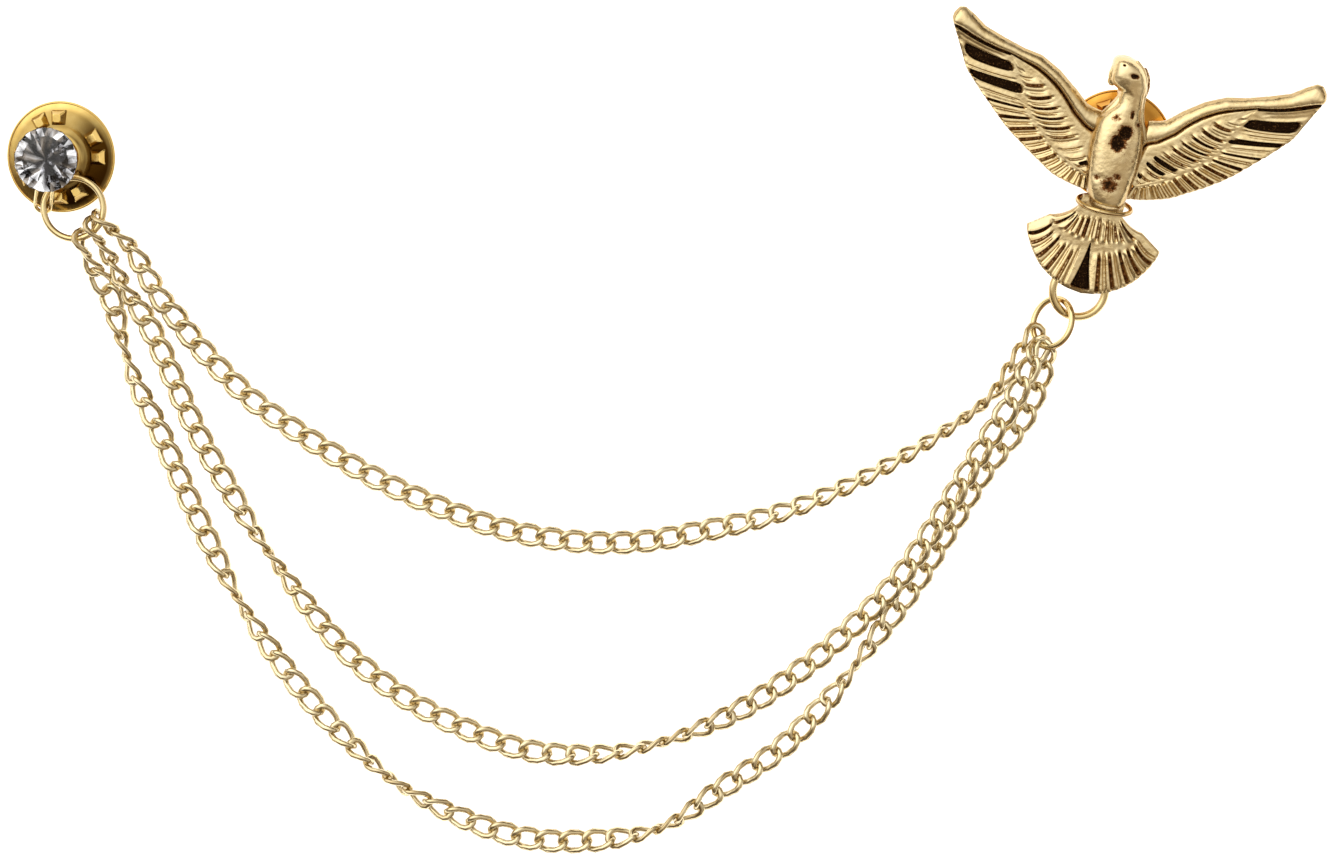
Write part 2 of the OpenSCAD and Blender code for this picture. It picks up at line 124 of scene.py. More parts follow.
# Matt white card just under the brooch, lit through from below so that it photographs as plain white
card_half, card_top = 2, -0.0002
card_white = finish_named("white_card", Base_Color=linear("#f4f3f0"), Roughness=0.9,
                          Emission_Color=linear("#ffffff"), Emission_Strength=0.82)[0]
card_corners = [(x * card_half, y * card_half, card_top) for x, y in ((-1, -1), (1, -1), (1, 1), (-1, 1))]
card_mesh = bpy.data.meshes.new("white_card")
card_mesh.from_pydata(card_corners, [], [(0, 1, 2, 3)])
card_mesh.materials.append(card_white)
white_card = bpy.data.objects.new("white_card", card_mesh)
bpy.context.collection.objects.link(white_card)


# Wings: one zinc alloy casting with the body and the tail, plated pale gold. Each wing has a smooth
# roll along its leading edge and two rows of feathers, with two deep slots near its tip painted dark as
# shade.
centring = np.array([0.153, 0.294, 0])
wing_span, drawn_span = 38.8, 39.4
cast_scale = wing_span / drawn_span
# Heights in millimetres: the plate's top, and on it the groove under the roll, the raised band between
# two rows, the fall to the rim, and the depth of a groove's floor, where its painted shade is darkest
plate, groove, band, rim_fall, groove_depth = 1.1, -0.28, 0.03, 0.16, 0.24
# Relief across a feather, in millimetres from its groove
feather_across = [-0.7, -0.38, -0.2, -0.07, 0.04, 0.16]
feather_relief = [0, 0.17, 0.2, -groove_depth, -groove_depth, 0]


def through(rows, t):
    """Smooth curve through rows of numbers at t = 0, 1, 2 and on: on each span, the Catmull-Rom cubic
    of the four rows round it."""
    rows = np.asarray(rows, float)
    q = np.vstack([2 * rows[0] - rows[1], rows, 2 * rows[-1] - rows[-2]])
    i = np.clip(np.floor(t).astype(int), 0, len(rows) - 2)
    s = (np.asarray(t) - i)[..., None]
    a, b, c, d = q[i], q[i + 1], q[i + 2], q[i + 3]
    square, cube = (2 * a - 5 * b + 4 * c - d) * s ** 2, (3 * b - a - 3 * c + d) * s ** 3
    return 0.5 * (2 * b + (c - a) * s + square + cube)


def tilted(turn, tilt):
    """The three directions of a frame raised by tilt about its first one, then turned about the upright."""
    ct, st, cu, su = cos(radians(tilt)), sin(radians(tilt)), cos(radians(turn)), sin(radians(turn))
    return np.array([[cu, su, 0], [-su * ct, cu * ct, st], [su * st, -cu * st, ct]])


def placed(points, at, ways):
    """Points given along three directions from a place, in millimetres; the marks behind them stay."""
    return np.concatenate([np.asarray(at) + points[..., :3] @ np.asarray(ways), points[..., 3:]], -1)


def closed_object(name, body, points, faces, marks, *finishes):
    """Object of points in millimetres, its faces, and marks that give each point a number: doubled points
    are merged so that seams and poles close, and the faces are turned outwards."""
    mesh = bpy.data.meshes.new(name)
    mesh.from_pydata((points * 0.001).tolist(), [], faces)
    for mark, values in marks.items():
        kept = mesh.attributes.new(mark, "FLOAT", "POINT")
        kept.data.foreach_set("value", values.astype(np.float32))
    shell = bmesh.new()
    shell.from_mesh(mesh)
    bmesh.ops.remove_doubles(shell, verts=shell.verts, dist=3e-7)
    bmesh.ops.recalc_face_normals(shell, faces=shell.faces)
    shell.to_mesh(mesh)
    shell.free()
    for finish in finishes:
        mesh.materials.append(finish)
    made = bpy.data.objects.new(name, mesh)
    bpy.context.collection.objects.link(made)
    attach(made, body)
    return made


def piece(name, body, surfaces, finish, marks=(), crease=50):
    """Object made of grid surfaces, each rows by columns of x, y, z in millimetres and then its marks: a
    quad for each cell, shaded smooth except at creases of more than the angle given."""
    points, faces, first = [], [], 0
    for surface in surfaces:
        rows, columns = surface.shape[:2]
        n = first + np.arange(rows * columns).reshape(rows, columns)
        faces.append(np.stack([n[:-1, :-1], n[:-1, 1:], n[1:, 1:], n[1:, :-1]], -1).reshape(-1, 4))
        points.append(surface.reshape(rows * columns, -1))
        first += rows * columns
    points = np.concatenate(points)
    values = {mark: points[:, 3 + k] for k, mark in enumerate(marks)}
    made = closed_object(name, body, points[:, :3], np.concatenate(faces).tolist(), values, finish)
    made.data.polygons.foreach_set("use_smooth", [True] * len(made.data.polygons))
    made.data.set_sharp_from_angle(angle=radians(crease))
    return made


def fade(g, start, stop):
    """1 between start and stop along a feather, with a ramp at each end."""
    return np.clip((g - start - 0.02) / 0.1, 0, 1) * np.clip((stop + 0.03 - g) / 0.14, 0, 1)


def feather_row(i, g, lines, pitch, run_on=0.0):
    """Relief of a row of feathers. Each line is a place across the row, a strength, and where it starts
    and stops (run on in an outer row, so that it cuts the rim): the surface climbs to a crest beside
    it, drops into the groove and comes back level."""
    height = np.zeros(np.broadcast(i, g).shape)
    for place, strength, start, stop in lines:
        form = np.interp((i - place) * pitch, feather_across, feather_relief)
        height = height + strength * form * fade(g, start, stop + run_on)
    return height


def hollow(i, g, box):
    """1 inside a slot's box in i and g and 0 outside: with p and q running from -1 to 1 over the box,
    2.5 (1 - p^4 - q^6), cut off at 0 and 1, so that its corners are round."""
    i0, i1, g0, g1 = box
    p, q = (2 * i - i0 - i1) / (i1 - i0), (2 * g - g0 - g1) / (g1 - g0)
    return np.clip(2.5 * (1 - p ** 4 - q ** 6), 0, 1)


def sided(surface):
    """The surface with one more mark, its steepness: 1 less the upright part of its unit normal."""
    normal = np.cross(np.gradient(surface[..., :3], axis=0), np.gradient(surface[..., :3], axis=1))
    size = np.linalg.norm(normal, axis=-1) + 1e-9
    return np.concatenate([surface, (1 - abs(normal[..., 2]) / size)[..., None]], -1)


def wall(edge, low=0.0):
    """Upright strip from an edge down to the casting's back."""
    foot = edge.copy()
    foot[:, 2] = low
    return np.stack([edge, foot], 1)


# Right wing, in millimetres from the middle of the bird: the foot of the leading roll, the line
# between the two rows and the trailing edge, each from the tip to the body
roll_foot = [(13.0, 6.45), (9.8, 5.5), (8.0, 4.6), (6.9, 3.8), (6.0, 2.95), (5.3, 2.2), (4.6, 1.65),
             (3.7, 1.0), (2.6, 0.45), (2.2, -0.6), (2.1, -1.6), (2.1, -2.8), (2.1, -3.8)]
row_line = [(13.0, 6.45), (12.0, 4.9), (11.2, 3.7), (10.6, 2.4), (10.1, 1.6), (9.6, 0.9), (8.9, 0.2),
            (8.0, -0.6), (7.0, -1.4), (6.0, -2.2), (4.7, -2.9), (3.4, -3.5), (2.4, -3.9)]
trailing = [(19.4, 8.3), (18.0, 5.7), (17.2, 4.2), (16.2, 3.1), (15.0, 1.9), (13.8, 0.8), (12.4, -0.5),
            (11.0, -1.6), (9.4, -2.65), (7.8, -3.55), (6.1, -4.45), (3.8, -5.1), (1.8, -5.4)]
# Leading edge against how far out the roll's foot is
lead_from = [2.4, 3.7, 4.2, 5, 6, 7, 8, 10, 12, 14, 16, 17, 18, 18.5, 19, 19.4]
lead_u = [2.4, 3.5, 4.1, 4.7, 5.6, 6.6, 7.6, 9.7, 11.7, 13.9, 16.1, 17.3, 18.5, 19.1, 19.55, 19.65]
lead_v = [2.9, 3.1, 3.3, 3.8, 4.6, 5.3, 6.0, 6.95, 7.3, 7.95, 8.7, 9.55, 10.2, 10.1, 9.5, 8.9]
roll_form = [[groove], [0.22], [0.4], [0.42], [0.36], [0.22], [0.0], [-0.35]]
covert_lines = [(0.85, 0.4, 0.5, 0.9), (1.4, 0.3, 0.4, 0.95), (1.95, 0.9, 0.22, 0.92),
                (2.45, 0.35, 0.3, 0.95), (2.95, 1, 0.2, 0.93), (3.5, 0.35, 0.3, 0.95), (4.0, 1, 0.2, 0.94),
                (4.6, 0.35, 0.3, 0.95), (5.2, 1, 0.18, 0.94), (5.8, 0.4, 0.3, 0.95), (6.4, 1, 0.2, 0.94),
                (6.9, 0.4, 0.3, 0.9), (7.35, 0.8, 0.25, 0.93), (7.8, 0.4, 0.3, 0.9), (8.6, 0.5, 0.3, 0.9),
                (9.6, 0.6, 0.3, 0.9), (10.4, 0.6, 0.25, 0.85), (11.2, 0.4, 0.3, 0.8)]
primary_lines = [(0.3, 0.25, 0.1, 0.9), (0.5, 0.25, 0.2, 0.95), (1.75, 0.35, 0.05, 0.9),
                 (2.12, 0.3, 0.2, 0.9), (2.62, 0.7, 0.05, 0.95), (3.55, 0.4, 0.12, 0.9),
                 (4.35, 1.1, 0.04, 0.97), (5.0, 0.4, 0.1, 0.9), (5.6, 1.05, 0.06, 0.97),
                 (6.1, 0.4, 0.12, 0.9), (6.55, 1, 0.05, 0.96), (6.95, 0.45, 0.1, 0.9), (7.4, 1, 0.05, 0.95),
                 (7.85, 0.5, 0.1, 0.95), (8.3, 1, 0.06, 0.97), (8.65, 0.5, 0.1, 0.9), (9.0, 1, 0.04, 0.97),
                 (9.4, 0.7, 0.1, 0.97), (9.8, 0.8, 0.05, 0.97), (10.15, 0.7, 0.1, 0.97),
                 (10.5, 0.8, 0.08, 0.97), (10.8, 0.6, 0.05, 0.97), (11.1, 0.7, 0.08, 0.97),
                 (11.4, 0.5, 0.1, 0.97), (11.7, 0.6, 0.1, 0.97)]
right_slots = [(0.7, 1.45, 0.03, 0.93), (2.62, 3.0, 0.02, 0.97)]
right_small_slots = [(7.95, 8.35, 0.3, 0.86), (8.85, 9.2, 0.25, 0.75), (10.4, 10.7, 0.2, 0.4)]
left_slots = [(0.45, 1.12, 0.05, 0.9), (1.95, 2.8, 0.02, 0.96)]
left_small_slots = [(9.9, 10.25, 0.35, 0.6), (10.6, 11.0, 0.1, 0.3)]
# Millimetres to one step of i in each row, and how deep the slots are below the plate's top
covert_pitch, primary_pitch, slot_depth, small_slot_depth = 1.1, 1.25, 0.5, 0.4


def wing(side, slots, small_slots, lift):
    """One wing as a closed plate. Across the feathers runs i, 0 at the tip and 12 at the body; along
    them runs g. A covert's point is foot + g (line - foot), a primary's line + g (edge - line), each
    sagging by 4 g (1 - g); the roll spans from the foot to the leading edge. The wing is lifted up the
    bird from 6 to 10 mm out."""
    i = np.linspace(0, 12, 265)[:, None]
    foot, line, edge = (through(rows, i[:, 0])[:, None] for rows in (roll_foot, row_line, trailing))
    gc, gp = np.linspace(0, 1, 23), np.linspace(0, 1, 37)
    sag_c = 0.4 * np.clip(i, 0, 1) * np.clip(12 - i, 0, 2) / 2
    sag_p = 0.08 + 0.24 * np.clip(1 - i / 3, 0, 1)
    down = np.array([0, -1])
    coverts = foot + (line - foot) * gc[:, None] + down * (sag_c * 4 * gc * (1 - gc))[..., None]
    primaries = line + (edge - line) * gp[:, None] + down * (sag_p * 4 * gp * (1 - gp))[..., None]

    rise_c = feather_row(i, gc, covert_lines, covert_pitch) + band * np.clip((gc - 0.8) / 0.15, 0, 1)
    rise_c += (groove - rise_c) * np.clip(1 - gc / 0.06, 0, 1)
    rise_p = feather_row(i, gp, primary_lines, primary_pitch, 0.25) + band * np.clip(1 - gp / 0.14, 0, 1)
    rise_p -= rim_fall * np.clip((gp - 0.9) / 0.1, 0, 1) ** 2
    # Painted shade: the grooves darken with their depth, and the slots go near black
    dark_c = 0.95 * np.clip(-rise_c / groove_depth, 0, 1) * np.clip((9.2 - i) + gc * 20, 0, 1)
    dark_p = 0.92 * np.clip(-rise_p / groove_depth, 0, 1) * (gp < 0.97)
    for box in small_slots:
        deep = hollow(i, gc, box)
        rise_c, dark_c = rise_c - (rise_c + small_slot_depth) * deep, np.maximum(dark_c, 1.15 * deep)
    for box in slots:
        deep = hollow(i, gp, box)
        rise_p, dark_p = rise_p - (rise_p + slot_depth) * deep, np.maximum(dark_p, 1.2 * deep)
    # The edge beside the roll at the tip is sunk into the roll's groove and painted dark as shade
    by_roll = np.clip((0.09 - i) / 0.04, 0, 1)
    rise_p = rise_p + (1.4 * groove - rise_p) * by_roll
    dark_p = np.maximum(dark_p, by_roll)

    feathers = np.concatenate([
        np.concatenate([coverts, (plate + rise_c)[..., None], dark_c[..., None]], -1),
        np.concatenate([primaries, (plate + rise_p)[..., None], dark_p[..., None]], -1)[:, 1:]], 1)
    # The roll's foot runs in from the tip's rim to the row line, then along the coverts to the body,
    # which they meet at i = 9
    tip, inner = len(gc) - 1, int(np.argmin(abs(i[:, 0] - 9)))
    low = np.concatenate([feathers[0, :tip:-1], feathers[0:1, tip], feathers[1:inner + 1, 0]])
    t = np.linspace(0, 1, 22)
    high = np.stack([np.interp(low[:, 0], lead_from, lead_u), np.interp(low[:, 0], lead_from, lead_v)], -1)
    plan = low[:, None, :2] + (high - low[:, :2])[:, None] * t[:, None]
    form = through(roll_form, t * (len(roll_form) - 1))[:, 0]
    breadth = np.linalg.norm(high - low[:, :2], axis=1)[:, None]
    rise = plate + form * np.clip(breadth / 1.4, 0.25, 1)
    # Painted shade along the roll's foot, down in its groove
    shade = np.broadcast_to(np.clip(1 - t / 0.07, 0, 1), plan.shape[:2])
    roll = np.concatenate([plan, rise[..., None], shade[..., None]], -1)
    tops = [feathers, roll]
    backs = [surface.copy() for surface in tops]
    for back in backs:
        back[..., 2:] = 0
    edges = [feathers[:, -1], feathers[-1], feathers[inner:, 0], roll[:, -1], roll[0], roll[-1]]
    surfaces = tops + backs + [wall(edge) for edge in edges]
    shaped = []
    for surface in surfaces:
        local = sided(surface)
        local[..., 1] += lift * np.clip((local[..., 0] - 6) / 4, 0, 1)
        local[..., 0] *= side * cast_scale
        local[..., 1] *= cast_scale
        shaped.append(placed(local, bird_at, bird_ways))
    return shaped


# The bird is turned and tilted where it lies: one edge of its clutch's housing is on the surface, under
# the cloth's gap, the clutch and the post, which stands a little below the bird's middle
bird_turn, bird_tilt = -12, 10
bird_ways = tilted(bird_turn, bird_tilt)
cloth_gap, clutch_depth, housing_half, post_v = 2.8, 4.4, 2.3, -0.6
bird_height = (cloth_gap + clutch_depth) * bird_ways[2, 2] + (housing_half - post_v) * bird_ways[1, 2]
bird_at = centring + [46.26, 28.91, bird_height]

# Pale gold plate over cast zinc, painted with shade that makes it browner down the steep sides. Mould
# lumps of 1.5 mm and dents of 0.4 mm break its highlights, and fine pits of 0.1 mm dull it. Grooves,
# slots and marked edges are painted brown, then near black, as shade; the body's patches where the plate
# is gone show the same brown and near black metal. All have ragged edges and specks scuffed back to brown.
pale_plate, tree, shader = finish_named("pale_gold_plated_casting", Metallic=1.0)
spot = add(tree, "ShaderNodeTexCoord").outputs["Object"]
lumps = add(tree, "ShaderNodeTexNoise", {"Vector": spot, "Scale": 650.0, "Detail": 2.0}).outputs["Fac"]
dents = add(tree, "ShaderNodeTexNoise", {"Vector": spot, "Scale": 2600.0, "Detail": 3.0}).outputs["Fac"]
pits = add(tree, "ShaderNodeTexNoise", {"Vector": spot, "Scale": 7000.0, "Detail": 3.0}).outputs["Fac"]
side = add(tree, "ShaderNodeAttribute", attribute_name="side").outputs["Fac"]
# Painted shade: the steeper the surface, the browner its colour
steep = add(tree, "ShaderNodeMapRange", {"Value": side, "From Min": 0.05, "From Max": 0.6,
                                         "To Max": 0.75}).outputs[0]
tone = add(tree, "ShaderNodeMix", {"Factor": lumps, 6: linear("#dfc28a"), 7: linear("#f6e5bb")},
           data_type="RGBA").outputs[2]
tone = add(tree, "ShaderNodeMix", {"Factor": steep, 6: tone, 7: linear("#96733c")},
           data_type="RGBA").outputs[2]
# Painted shade in the grooves, slots and marked edges, and the body's patches where the plate is gone
dark = add(tree, "ShaderNodeAttribute", attribute_name="dark").outputs["Fac"]
ragged = add(tree, "ShaderNodeMath", {0: dents, 1: 1.0, 2: dark}, operation="MULTIPLY_ADD").outputs[0]
ragged = add(tree, "ShaderNodeMath", {0: pits, 1: 0.8, 2: ragged}, operation="MULTIPLY_ADD").outputs[0]
brown = add(tree, "ShaderNodeMapRange", {"Value": ragged, "From Min": 1.35, "From Max": 1.6}).outputs[0]
bare_and_shade = add(tree, "ShaderNodeMapRange", {"Value": ragged, "From Min": 1.6, "From Max": 1.85}).outputs[0]
colour = add(tree, "ShaderNodeMix", {"Factor": brown, 6: tone, 7: linear("#86552c")},
             data_type="RGBA").outputs[2]
scuffed = add(tree, "ShaderNodeMapRange", {"Value": pits, "From Min": 0.58, "From Max": 0.7,
                                           "To Max": 0.5}).outputs[0]
shaded_and_worn_black = add(tree, "ShaderNodeMix", {"Factor": scuffed, 6: linear("#22150c"), 7: linear("#8a6238")},
                 data_type="RGBA").outputs[2]
colour = add(tree, "ShaderNodeMix", {"Factor": bare_and_shade, 6: colour, 7: shaded_and_worn_black},
             data_type="RGBA").outputs[2]
tree.links.new(colour, shader.inputs["Base Color"])
rough = add(tree, "ShaderNodeMapRange", {"Value": lumps, "From Min": 0.3, "From Max": 0.7, "To Min": 0.2,
                                         "To Max": 0.34}).outputs[0]
rough = add(tree, "ShaderNodeMath", {0: brown, 1: 0.15, 2: rough}, operation="MULTIPLY_ADD").outputs[0]
tree.links.new(rough, shader.inputs["Roughness"])
soft = add(tree, "ShaderNodeBump", {"Height": lumps, "Strength": 0.3, "Distance": 0.00025}).outputs[0]
soft = add(tree, "ShaderNodeBump", {"Height": dents, "Strength": 0.35, "Distance": 0.00008,
                                    "Normal": soft}).outputs[0]
soft = add(tree, "ShaderNodeBump", {"Height": pits, "Strength": 0.12, "Distance": 0.00004,
                                    "Normal": soft}).outputs[0]
tree.links.new(soft, shader.inputs["Normal"])

for name, side, slots, small_slots, lift in (("wing_right", 1, right_slots, right_small_slots, 0.0),
                                             ("wing_left", -1, left_slots, left_small_slots, 0.3)):
    made = piece(name, "brooch", wing(side, slots, small_slots, lift), pale_plate, ("dark", "side"))
    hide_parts("bird")

# Tail: the lower part of the same casting, a fan with two rows of ribs between plain bands along its
# upper edges. One wide gap in the outer row is painted black as shade.
tail_neck = [(0, -5.8), (0.4, -5.8), (0.8, -5.8), (1.2, -5.8), (1.6, -5.8), (1.95, -5.8), (2.2, -5.8)]
tail_root = [(0, -7.5), (0.68, -7.5), (1.35, -7.5), (1.75, -7.5), (1.95, -7.5), (2.1, -7.4), (2.3, -7.2)]
tail_arc = [(0, -10.6), (0.95, -10.55), (1.9, -10.4), (2.8, -10.15), (3.6, -9.85), (4.3, -9.4),
            (4.85, -8.6)]
tail_rim = [(0, -15.95), (1.9, -15.6), (3.5, -14.85), (4.9, -13.8), (6.0, -12.4), (6.75, -11.0),
            (7.0, -10.1)]
tail_inner_lines = [(-5, 1, 0.1, 1), (-3.6, 0.9, 0.12, 0.95), (-2.9, 0.5, 0.2, 0.9),
                    (-2.0, 0.9, 0.15, 0.93), (-1.2, 1, 0.12, 0.95), (-0.4, 0.6, 0.1, 0.9),
                    (0.4, 0.9, 0.1, 0.95), (0.9, 0.4, 0.2, 0.9), (1.5, 0.9, 0.12, 0.93),
                    (2.1, 0.7, 0.15, 0.9), (2.7, 0.8, 0.2, 0.9), (3.5, 0.7, 0.4, 0.95), (5, 0.9, 0.1, 1)]
tail_outer_lines = [(-5.1, 1, 0, 0.95), (-4.35, 0.9, 0.1, 0.95), (-3.9, 0.4, 0.2, 0.9),
                    (-3.4, 1, 0.08, 0.95), (-2.9, 0.5, 0.2, 0.9), (-2.45, 1, 0.15, 0.93),
                    (-2.0, 0.5, 0.1, 0.9), (-1.55, 0.9, 0.2, 0.93), (-1.1, 0.5, 0.1, 0.9),
                    (0.85, 1, 0.15, 0.93), (1.3, 0.5, 0.1, 0.9), (1.8, 1, 0.12, 0.94), (2.3, 0.5, 0.1, 0.9),
                    (2.8, 1, 0.08, 0.93), (3.25, 0.5, 0.2, 0.9), (3.7, 1, 0.08, 0.93), (4.2, 0.5, 0.2, 0.9),
                    (4.7, 1, 0.06, 0.9), (5.2, 0.5, 0, 0.9)]
# The fan's middle, the millimetres to one step of i in each row, and the depth of the gap painted black
tail_middle, tail_inner_pitch, tail_outer_pitch, gap_depth = -0.55, 0.7, 1.1, 0.45


def tail():
    """The tail as a closed plate: across it runs i from -6 to 6, and each point is neck + g (root -
    neck), root + g (arc - root), then arc + g (rim - arc), bowed down by g (1 - g) so that the outer
    ribs curve outwards."""
    i = np.linspace(-6, 6, 289)[:, None]
    neck, root, arc, rim = (through(rows, abs(i[:, 0]))[:, None]
                            for rows in (tail_neck, tail_root, tail_arc, tail_rim))
    g0, g1, g2 = np.linspace(0, 1, 6), np.linspace(0, 1, 21), np.linspace(0, 1, 37)
    down = np.array([0, -1])
    middle = np.clip(5.2 - abs(i), 0, 0.3) / 0.3
    upper = neck + (root - neck) * g0[:, None]
    inner = root + (arc - root) * g1[:, None] + down * (0.05 * abs(i) * 4 * g1 * (1 - g1))[..., None]
    bow = 0.09 * abs(i) * np.clip(6 - abs(i), 0, 1)
    outer = arc + (rim - arc) * g2[:, None] + down * (bow * 4 * g2 * (1 - g2))[..., None]
    rise1 = feather_row(i, g1, tail_inner_lines, tail_inner_pitch)
    rise1 = rise1 + middle * band * np.clip((g1 - 0.7) / 0.2, 0, 1)
    rise2 = feather_row(i, g2, tail_outer_lines, tail_outer_pitch, 0.25)
    rise2 = rise2 + middle * band * np.clip(1 - g2 / 0.14, 0, 1)
    rise2 -= rim_fall * np.clip((g2 - 0.9) / 0.1, 0, 1) ** 2
    # Painted shade: the ribs' grooves darken with their depth, and the wide gap goes black
    dark1 = 0.95 * np.clip(-rise1 / groove_depth, 0, 1)
    dark2 = 0.95 * np.clip(-rise2 / groove_depth, 0, 1) * (g2 < 0.97)
    gap = (np.clip((i + 0.25 + 0.5 * g2) / 0.08, 0, 1) * np.clip((0.62 * g2 - 0.15 - i) / 0.08, 0, 1)
           * np.clip((0.93 - g2) / 0.03, 0, 1))
    rise2, dark2 = rise2 - (rise2 + gap_depth) * gap, np.maximum(dark2, 1.3 * gap)
    side = 0.2 * np.clip(abs(i) - 5.6, 0, 0.4) ** 2 / 0.16
    flat = np.zeros(upper.shape[:2])
    top = np.concatenate([
        np.concatenate([upper, (plate + flat)[..., None], flat[..., None]], -1),
        np.concatenate([inner, (plate + rise1 - side)[..., None], dark1[..., None]], -1)[:, 1:],
        np.concatenate([outer, (plate + rise2 - side)[..., None], dark2[..., None]], -1)[:, 1:]], 1)
    top[..., 0] *= np.sign(i)
    top[:, :len(g0), 0] += 0.25 * (1 - g0)
    back = top.copy()
    back[..., 2:] = 0
    shaped = []
    for surface in [top, back] + [wall(edge) for edge in (top[:, 0], top[:, -1], top[0], top[-1])]:
        local = sided(surface)
        local[..., 0] += tail_middle
        local[..., :2] *= cast_scale
        shaped.append(placed(local, bird_at, bird_ways))
    return shaped


made = piece("tail", "brooch", tail(), pale_plate, ("dark", "side"))
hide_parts("bird")

# Body and head: the thick middle of the casting, one smooth hump from the waist to the crown. The head
# is turned to one side with its blunt beak; thin folds of the nape and the shoulder edge it.
body_rows = [(-7.3, -0.1, 0.6, 0.9), (-7.1, -0.1, 1.15, 1.8), (-6.6, -0.1, 1.6, 2.7),
             (-6, -0.15, 1.85, 3.1), (-5, -0.25, 2.2, 3.25), (-4, -0.33, 2.42, 3.3),
             (-2.5, -0.35, 2.65, 3.32), (-1, -0.38, 2.75, 3.35), (0.3, -0.42, 2.72, 3.35),
             (1.5, -0.45, 2.6, 3.3), (2.4, -0.5, 2.35, 3.2), (3.3, -0.35, 1.85, 3.1), (4.2, 0, 1.45, 3.05),
             (5.1, 0, 1.4, 3.05), (5.55, -0.05, 1.45, 3.1), (5.9, -0.3, 1.75, 3.15), (6.3, -0.55, 2.0, 3.2),
             (6.9, -0.7, 1.95, 3.3), (7.4, -0.78, 1.85, 3.3), (8.0, -0.95, 1.65, 3.2),
             (8.45, -1.15, 1.4, 2.95), (8.8, -1.3, 1, 2.4), (9.02, -1.35, 0.35, 1.4)]
# Bare patches on the body: middle u and v, half width and half height, and how bare; a patch that is
# wholly bare is this deep
patch_depth = 0.08
bare_patches = [(0.1, 1.5, 0.75, 0.8, 1.7), (-0.45, 0.3, 0.8, 0.95, 1.75), (-0.37, -4.1, 1.1, 0.95, 1.02),
                (0.28, -3.1, 0.6, 0.42, 0.95), (-1.73, -3.6, 0.55, 0.35, 0.88), (-0.25, 7.3, 0.5, 0.3, 1.5),
                (-1.5, 8.2, 0.17, 0.14, 1.3), (0.44, 3.4, 0.25, 0.6, 1.2), (-1.1, 2.8, 0.6, 0.5, 0.88),
                (1.2, 2.5, 0.35, 0.35, 0.9), (0.2, 0.4, 1.5, 1.6, 0.52), (1.5, -1.3, 0.12, 0.12, 1.0),
                (1.35, -2.2, 0.1, 0.1, 1.0)]


def torso():
    """Rows of half ellipses up the bird: at each height v, u = middle - half width cos a and n = height
    sin a to the 0.4, closed underneath; patches down to the metal are bell-shaped marks, each a little
    hollow."""
    t = np.linspace(0, len(body_rows) - 1, 181)
    row = through(body_rows, t)
    a = np.linspace(0, pi, 57)
    u = row[:, 1:2] - row[:, 2:3] * np.cos(a)
    v = np.broadcast_to(row[:, :1], u.shape)
    n = np.clip(row[:, 3:4], 0, None) * np.clip(np.sin(a), 0, 1) ** 0.4
    dark = np.zeros(u.shape)
    for mid_u, mid_v, half_u, half_v, how in bare_patches:
        near = ((u - mid_u) / half_u) ** 2 + ((v - mid_v) / half_v) ** 2
        dark = np.maximum(dark, how * np.exp(-near))
        n = n - patch_depth * how * np.exp(-near ** 2)
    n[:, [0, -1]] = 0
    top = np.stack([u, v, n, dark], -1)
    flat = top[:, [0, -1]]
    ends = [np.stack([top[k], top[k] * [1, 1, 0, 0]], 1) for k in (0, -1)]
    return [top, flat] + ends


def sweep(path, across, up, profile, size=None):
    """A profile carried along a path: point (i, j) is path i + size i (profile j's first number times
    across i + its second times up i)."""
    size = np.ones(len(path)) if size is None else np.asarray(size, float)
    return path[:, None] + size[:, None, None] * (profile[None, :, :1] * across[:, None]
                                                  + profile[None, :, 1:] * up[:, None])


def circle(sides, radius=1.0):
    """A closed circle of points, the first one repeated."""
    a = np.linspace(0, 2 * pi, sides + 1)
    return radius * np.stack([np.cos(a), np.sin(a)], -1)


def fold(rows, steps, painted_shade=0.0):
    """A rounded roll through rows of u, v, n and radius, domed shut at both ends, and its painted shade."""
    t = np.concatenate([[0, 0, 0], np.linspace(0, len(rows) - 1, steps), [len(rows) - 1] * 3])
    line = through(rows, t)
    size = line[:, 3].copy()
    size[:3] *= [0, 0.6, 0.9]
    size[-3:] *= [0.9, 0.6, 0]
    path = line[:, :3].copy()
    along = np.gradient(through(rows, np.linspace(0, len(rows) - 1, len(t)))[:, :3], axis=0)
    along /= np.linalg.norm(along, axis=1)[:, None]
    path[:3] -= along[:3] * (line[:3, 3:] * np.array([[0.95], [0.75], [0.4]]))
    path[-3:] += along[-3:] * (line[-3:, 3:] * np.array([[0.4], [0.75], [0.95]]))
    up = np.broadcast_to([0.0, 0, 1], path.shape)
    across = np.cross(along, up)
    across /= np.linalg.norm(across, axis=1)[:, None]
    shell = sweep(path, across, up, circle(20), size)
    return np.concatenate([shell, np.full(shell.shape[:2] + (1,), painted_shade)], -1)


